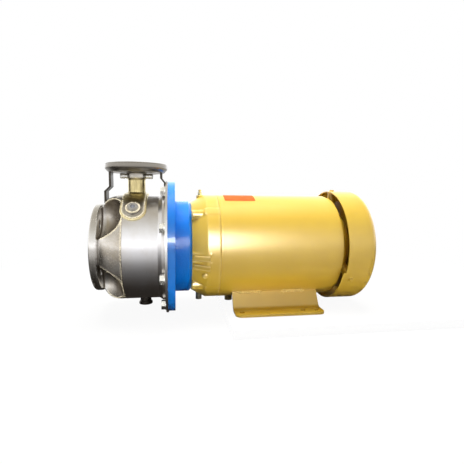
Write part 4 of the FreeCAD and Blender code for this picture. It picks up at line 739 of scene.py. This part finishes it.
# %% Weld beads
def laid_bead(mesh, path, radius, ripple=0.12, pitch=2.6, sides=10, closed=False):
    """A rippled bead along a path of places, one ring of edges pulled out of the last."""
    count = len(path)
    heading = None
    travelled = 0.0
    for index, place in enumerate(path):
        before = path[index - 1] if index or closed else place
        after = path[(index + 1) % count] if index + 1 < count or closed else place
        ahead = (after - before).normalized()
        if heading is None:
            turn = ahead.to_track_quat("Z", "Y")
        else:
            turn = heading.rotation_difference(ahead) @ turn
            travelled += (place - path[index - 1]).length
        heading = ahead
        ends = 1.0 if closed else min(1.0, 0.35 + min(index, count - 1 - index) * 0.2)
        size = radius * MM * ends * (1 + ripple * math.sin(travelled / MM * math.tau / pitch))
        stand = Matrix.LocRotScale(place, turn, Vector((size, size, size)))
        if index == 0:
            made = bmesh.ops.create_circle(mesh, cap_ends=not closed, segments=sides, radius=1.0, matrix=stand)
            ring = made["verts"]
            edges = list({edge for vert in ring for edge in vert.link_edges})
            first = edges
        else:
            made = bmesh.ops.extrude_edge_only(mesh, edges=edges)["geom"]
            ring = {part for part in made if isinstance(part, bmesh.types.BMVert)}
            edges = [part for part in made
                     if isinstance(part, bmesh.types.BMEdge) and all(end in ring for end in part.verts)]
            bmesh.ops.transform(mesh, matrix=stand @ last.inverted(), verts=list(ring))
        last = stand
    if closed:
        bmesh.ops.bridge_loops(mesh, edges=first + edges)
    else:
        bmesh.ops.contextual_create(mesh, geom=edges)


FOOT_WEB = 59.25
FOOT_WELD_HEIGHT = 32.9


def foot_welds(mesh):
    for side in (-1, 1):
        for start in (-74, 11):
            path = [Vector(((start + 1.2 * step) * MM, side * FOOT_WEB * MM, FOOT_WELD_HEIGHT * MM))
                    for step in range(41)]
            laid_bead(mesh, path, 3.8, ripple=0.16, pitch=4.6)


add_part("foot_weld_beads", foot_welds, bead_highlight_paint, "frame", "gold_paint", "foot_welds")

# %% [markdown]
# The discharge nozzle stands on a saddle that is welded to the drum all round: two round ends, one
# under the neck and one round the vent boss, with straight sides between them. The path is drawn
# flat, as if the drum were unrolled, and wrapped back round it.

# %% Saddle weld
OUTLET_X = -260.2
DRUM_RADIUS = 99.5
SADDLE_HALF = 20.6
VENT_ANGLE = 44.0


def saddle_weld(mesh):
    flat = []
    run = math.radians(VENT_ANGLE) * DRUM_RADIUS
    for step in range(41):
        turn = math.pi * step / 40
        flat.append((SADDLE_HALF * math.cos(turn), run + SADDLE_HALF * math.sin(turn)))
    for step in range(1, 36):
        flat.append((-SADDLE_HALF, run * (1 - step / 36)))
    for step in range(41):
        turn = math.pi + math.pi * step / 40
        flat.append((SADDLE_HALF * math.cos(turn), SADDLE_HALF * math.sin(turn)))
    for step in range(1, 36):
        flat.append((SADDLE_HALF, run * step / 36))
    path = [round_shaft(OUTLET_X + across, DRUM_RADIUS + 0.6, math.degrees(round_it / DRUM_RADIUS))
            for across, round_it in flat]
    laid_bead(mesh, path, 2.0, ripple=0.12, pitch=2.9, closed=True)


add_part("saddle_weld_bead", saddle_weld, weld_steel, "frame", "stainless_cast")

# %% [markdown]
# Fine beads run round the drum where it meets the head and where the bolting ring is welded on.
# Round the motor, thick paint bridges the joint between the front bell and the frame.


# %% Drum seams
def ring_path(x, radius, count=220):
    return [round_shaft(x, radius, 360 * step / count) for step in range(count)]


add_part("head_seam_bead", lambda mesh: laid_bead(mesh, ring_path(-277.5, 99.3), 0.55, 0.1, 2.2, 6, True),
         head_steel, "frame", "stainless_cast")
add_part("ring_seam_bead", lambda mesh: laid_bead(mesh, ring_path(-205.6, 104.2), 1.3, 0.12, 3.1, 8, True),
         plate_steel, "frame", "stainless")



def bell_joint(mesh):
    seat = aimed((-106.9 * MM, 0, SHAFT_HEIGHT), (1, 0, 0))
    turn_part(mesh, [(99.6, 0), (100.52, 1.4), (100.55, 3.0), (100.52, 4.6), (99.6, 6)], seat, steps=160)


add_part("bell_joint_paint", bell_joint, gold, "frame", "gold_paint")

# %% [markdown]
# A blank orange patch lies on top of the motor. It is a thin film, bent round the frame, with
# rounded corners and a little lift at its edges.

# %% Orange patch
PATCH_X = (-96, -37)
PATCH_ANGLES = (6, 27)
FRAME_RADIUS = 100.4
PATCH_LIFT = 0.25


def orange_patch(mesh):
    bmesh.ops.create_grid(mesh, x_segments=24, y_segments=16, size=0.5)
    corners = [vert for vert in mesh.verts if len(vert.link_faces) == 1]
    bmesh.ops.bevel(mesh, geom=corners, offset=0.06, segments=4, profile=0.5, affect="VERTICES", material=-1)
    for vert in mesh.verts:
        edge_lift = 0.25 if len(vert.link_faces) < 4 else 0.0
        x = PATCH_X[0] + (vert.co.x + 0.5) * (PATCH_X[1] - PATCH_X[0])
        angle = PATCH_ANGLES[0] + (vert.co.y + 0.5) * (PATCH_ANGLES[1] - PATCH_ANGLES[0])
        vert.co = round_shaft(x, FRAME_RADIUS + PATCH_LIFT + edge_lift, angle)
    bmesh.ops.solidify(mesh, geom=mesh.faces[:], thickness=0.12 * MM)


add_part("orange_patch", orange_patch, orange_film, "frame", "gold_paint")

# %% [markdown]
# The floor is pale and plain. The casing's big flange hangs below the feet, so the motor stands
# on a low plinth and the pump end reaches past its edge, as it does on a real base plate. For the
# camera the floor fades into the white backdrop. Polished metal sees the floor glow dark near the
# pump and white further off, a painted shadow of the space under the pump.

# %% Stage
PLINTH_FRONT = -98 * MM
PLINTH_BACK = 0.32
PLINTH_HALF = 0.17
STAGE_GAP = 0.8 * MM
FADE_START = 0.30
FADE_END = 0.9
LEAST_GLOW = 0.94
REFLECTED_SHADOW_NEAR = 0.06
REFLECTED_SHADOW_FAR = 0.52


def stage_block(name, low, high):
    mesh = bmesh.new()
    bmesh.ops.create_cube(mesh, size=1)
    bmesh.ops.scale(mesh, vec=Vector(high) - Vector(low), verts=mesh.verts)
    bmesh.ops.translate(mesh, vec=(Vector(low) + Vector(high)) / 2, verts=mesh.verts)
    data = bpy.data.meshes.new(name)
    mesh.to_mesh(data)
    mesh.free()
    block = bpy.data.objects.new(name, data)
    bpy.context.scene.collection.objects.link(block)
    return block


def pale_floor():
    floor = Finish("pale_floor")
    floor.set(Base_Color=colour(240, 239, 236), Roughness=0.9)
    floor.shader.inputs["Specular IOR Level"].default_value = 0.1
    here = floor.node("ShaderNodeTexCoord", out="Object")
    distance = floor.node("ShaderNodeVectorMath", {"operation": "LENGTH"}, {0: here}, out="Value")
    across = floor.along("Y").maths("ABSOLUTE")
    seen = floor.node("ShaderNodeLightPath", out="Is Camera Ray")
    mirrored = floor.node("ShaderNodeLightPath", out="Is Glossy Ray")
    glow = floor.node("ShaderNodeEmission", {}, {"Color": (1, 1, 1, 1), "Strength": 1.0})
    # In reflections the floor glows dark near the pump and white far off: a painted shadow.
    reflected_shadow = floor.node("ShaderNodeEmission", {}, {
        "Color": floor.mix(across.between(REFLECTED_SHADOW_NEAR, REFLECTED_SHADOW_FAR) ** 1.35, colour(54, 50, 46),
                           colour(255, 255, 255)), "Strength": 0.95})
    white = (distance.between(FADE_START, FADE_END) * (1 - LEAST_GLOW) + LEAST_GLOW) * seen
    lit = floor.node("ShaderNodeMixShader", {}, {0: white, 2: glow})
    floor.tree.links.new(floor.shader.outputs[0], lit.socket.node.inputs[1])
    whole = floor.node("ShaderNodeMixShader", {}, {0: mirrored, 1: lit, 2: reflected_shadow})
    floor.tree.links.new(whole.socket, floor.tree.nodes["Material Output"].inputs[0])
    return floor.material


lowest = cad_box[0].z - STAGE_GAP
floor_finish = pale_floor()
stage_block("floor", (-6, -6, lowest - 0.05), (6, 6, lowest)).data.materials.append(floor_finish)
plinth = stage_block("plinth", (PLINTH_FRONT, -PLINTH_HALF, lowest), (PLINTH_BACK, PLINTH_HALF, 0))
plinth.data.materials.append(floor_finish)

# %% [markdown]
# Polished steel shows the room, not itself. The camera sees a white backdrop. Reflections see a
# bright room at eye level and a dim, brownish ceiling, which give the casing its pale band below
# the middle and its grey shoulders. The lamps are soft and large, the strongest one overhead.

# %% Room and lamps
ROOM_STOPS = ((0.0, (0.02, 0.018, 0.016, 1)), (0.45, colour(150, 144, 140)), (0.495, (1.2, 1.2, 1.2, 1)),
              (0.52, (1.6, 1.6, 1.6, 1)), (0.55, (2.5, 2.55, 2.65, 1)), (0.60, (2.3, 2.35, 2.45, 1)),
              (0.64, (1.7, 1.73, 1.76, 1)), (0.70, (1.6, 1.63, 1.64, 1)), (0.80, (1.35, 1.36, 1.32, 1)),
              (0.90, (1.0, 0.98, 0.9, 1)), (1.0, (0.8, 0.76, 0.66, 1)))


def studio_world():
    world = bpy.data.worlds.new("studio")
    bpy.context.scene.world = world
    world.use_nodes = True
    tree = world.node_tree
    tree.nodes.clear()

    def add(kind, *links, **inputs):
        made = tree.nodes.new(kind)
        for key, given in inputs.items():
            made.inputs[key].default_value = given
        for place, source in enumerate(links):
            if source is not None:
                tree.links.new(source, made.inputs[place])
        return made

    direction = add("ShaderNodeTexCoord").outputs["Generated"]
    height = add("ShaderNodeSeparateXYZ", direction).outputs["Z"]
    lift = add("ShaderNodeMapRange", height)
    lift.inputs["From Min"].default_value = -1
    ramp = add("ShaderNodeValToRGB", lift.outputs[0])
    points = ramp.color_ramp.elements
    while len(points) < len(ROOM_STOPS):
        points.new(0.5)
    for point, (place, tint) in zip(points, ROOM_STOPS):
        point.position = place
        point.color = tint
    path = add("ShaderNodeLightPath")
    mirrored = add("ShaderNodeMath", path.outputs["Is Glossy Ray"], path.outputs["Is Transmission Ray"])
    mirrored.operation = "MAXIMUM"
    room = add("ShaderNodeBackground", Color=colour(226, 224, 220), Strength=0.24)
    reflection = add("ShaderNodeBackground", ramp.outputs[0], Strength=1.0)
    backdrop = add("ShaderNodeBackground", Color=(1, 1, 1, 1), Strength=1.0)
    first = add("ShaderNodeMixShader", mirrored.outputs[0], room.outputs[0], reflection.outputs[0])
    last = add("ShaderNodeMixShader", path.outputs["Is Camera Ray"], first.outputs[0], backdrop.outputs[0])
    add("ShaderNodeOutputWorld", last.outputs[0])


studio_world()


def soft_lamp(name, place, aim, size, power):
    light = bpy.data.lights.new(name, "AREA")
    light.shape = "RECTANGLE"
    light.size, light.size_y = size
    light.energy = power
    lamp = bpy.data.objects.new(name, light)
    lamp.location = place
    lamp.rotation_euler = (Vector(aim) - Vector(place)).to_track_quat("-Z", "Y").to_euler()
    lamp.visible_glossy = False
    bpy.context.scene.collection.objects.link(lamp)
    return lamp


soft_lamp("overhead", (-0.05, 0.12, 1.5), (0, 0, 0.1), (1.4, 0.8), 52)
soft_lamp("front", (-0.7, -1.8, 0.9), (-0.05, 0, 0.1), (1.1, 0.7), 2)
soft_lamp("back", (0.6, 1.4, 1.0), (0, 0, 0.1), (1.2, 0.8), 5)

# %% [markdown]
# One more lamp stands behind the photographer and lights the paint alone. The polished steel would
# show it as a glare, so a light linking collection names the painted pieces as its receivers.

# %% Lamps for the paint
def gloss_lamp(finish, size, power):
    """A lamp that only shows as a reflection, and only in the pieces of one finish."""
    pieces = bpy.data.collections.new(finish.name + " pieces")
    for piece in bpy.context.scene.objects:
        if piece.type == "MESH" and piece.active_material == finish:
            pieces.objects.link(piece)
    lamp = soft_lamp(finish.name + " lamp", (-0.12, -2.0, 0.70), (-0.05, 0, 0.12), size, power)
    lamp.visible_glossy = True
    lamp.visible_diffuse = False
    lamp.light_linking.receiver_collection = pieces


gloss_lamp(gold, (0.4, 1.1), 84)
gloss_lamp(blue, (0.6, 0.3), 20)

# %% Picture settings
bpy.context.scene.view_settings.view_transform = "Standard"
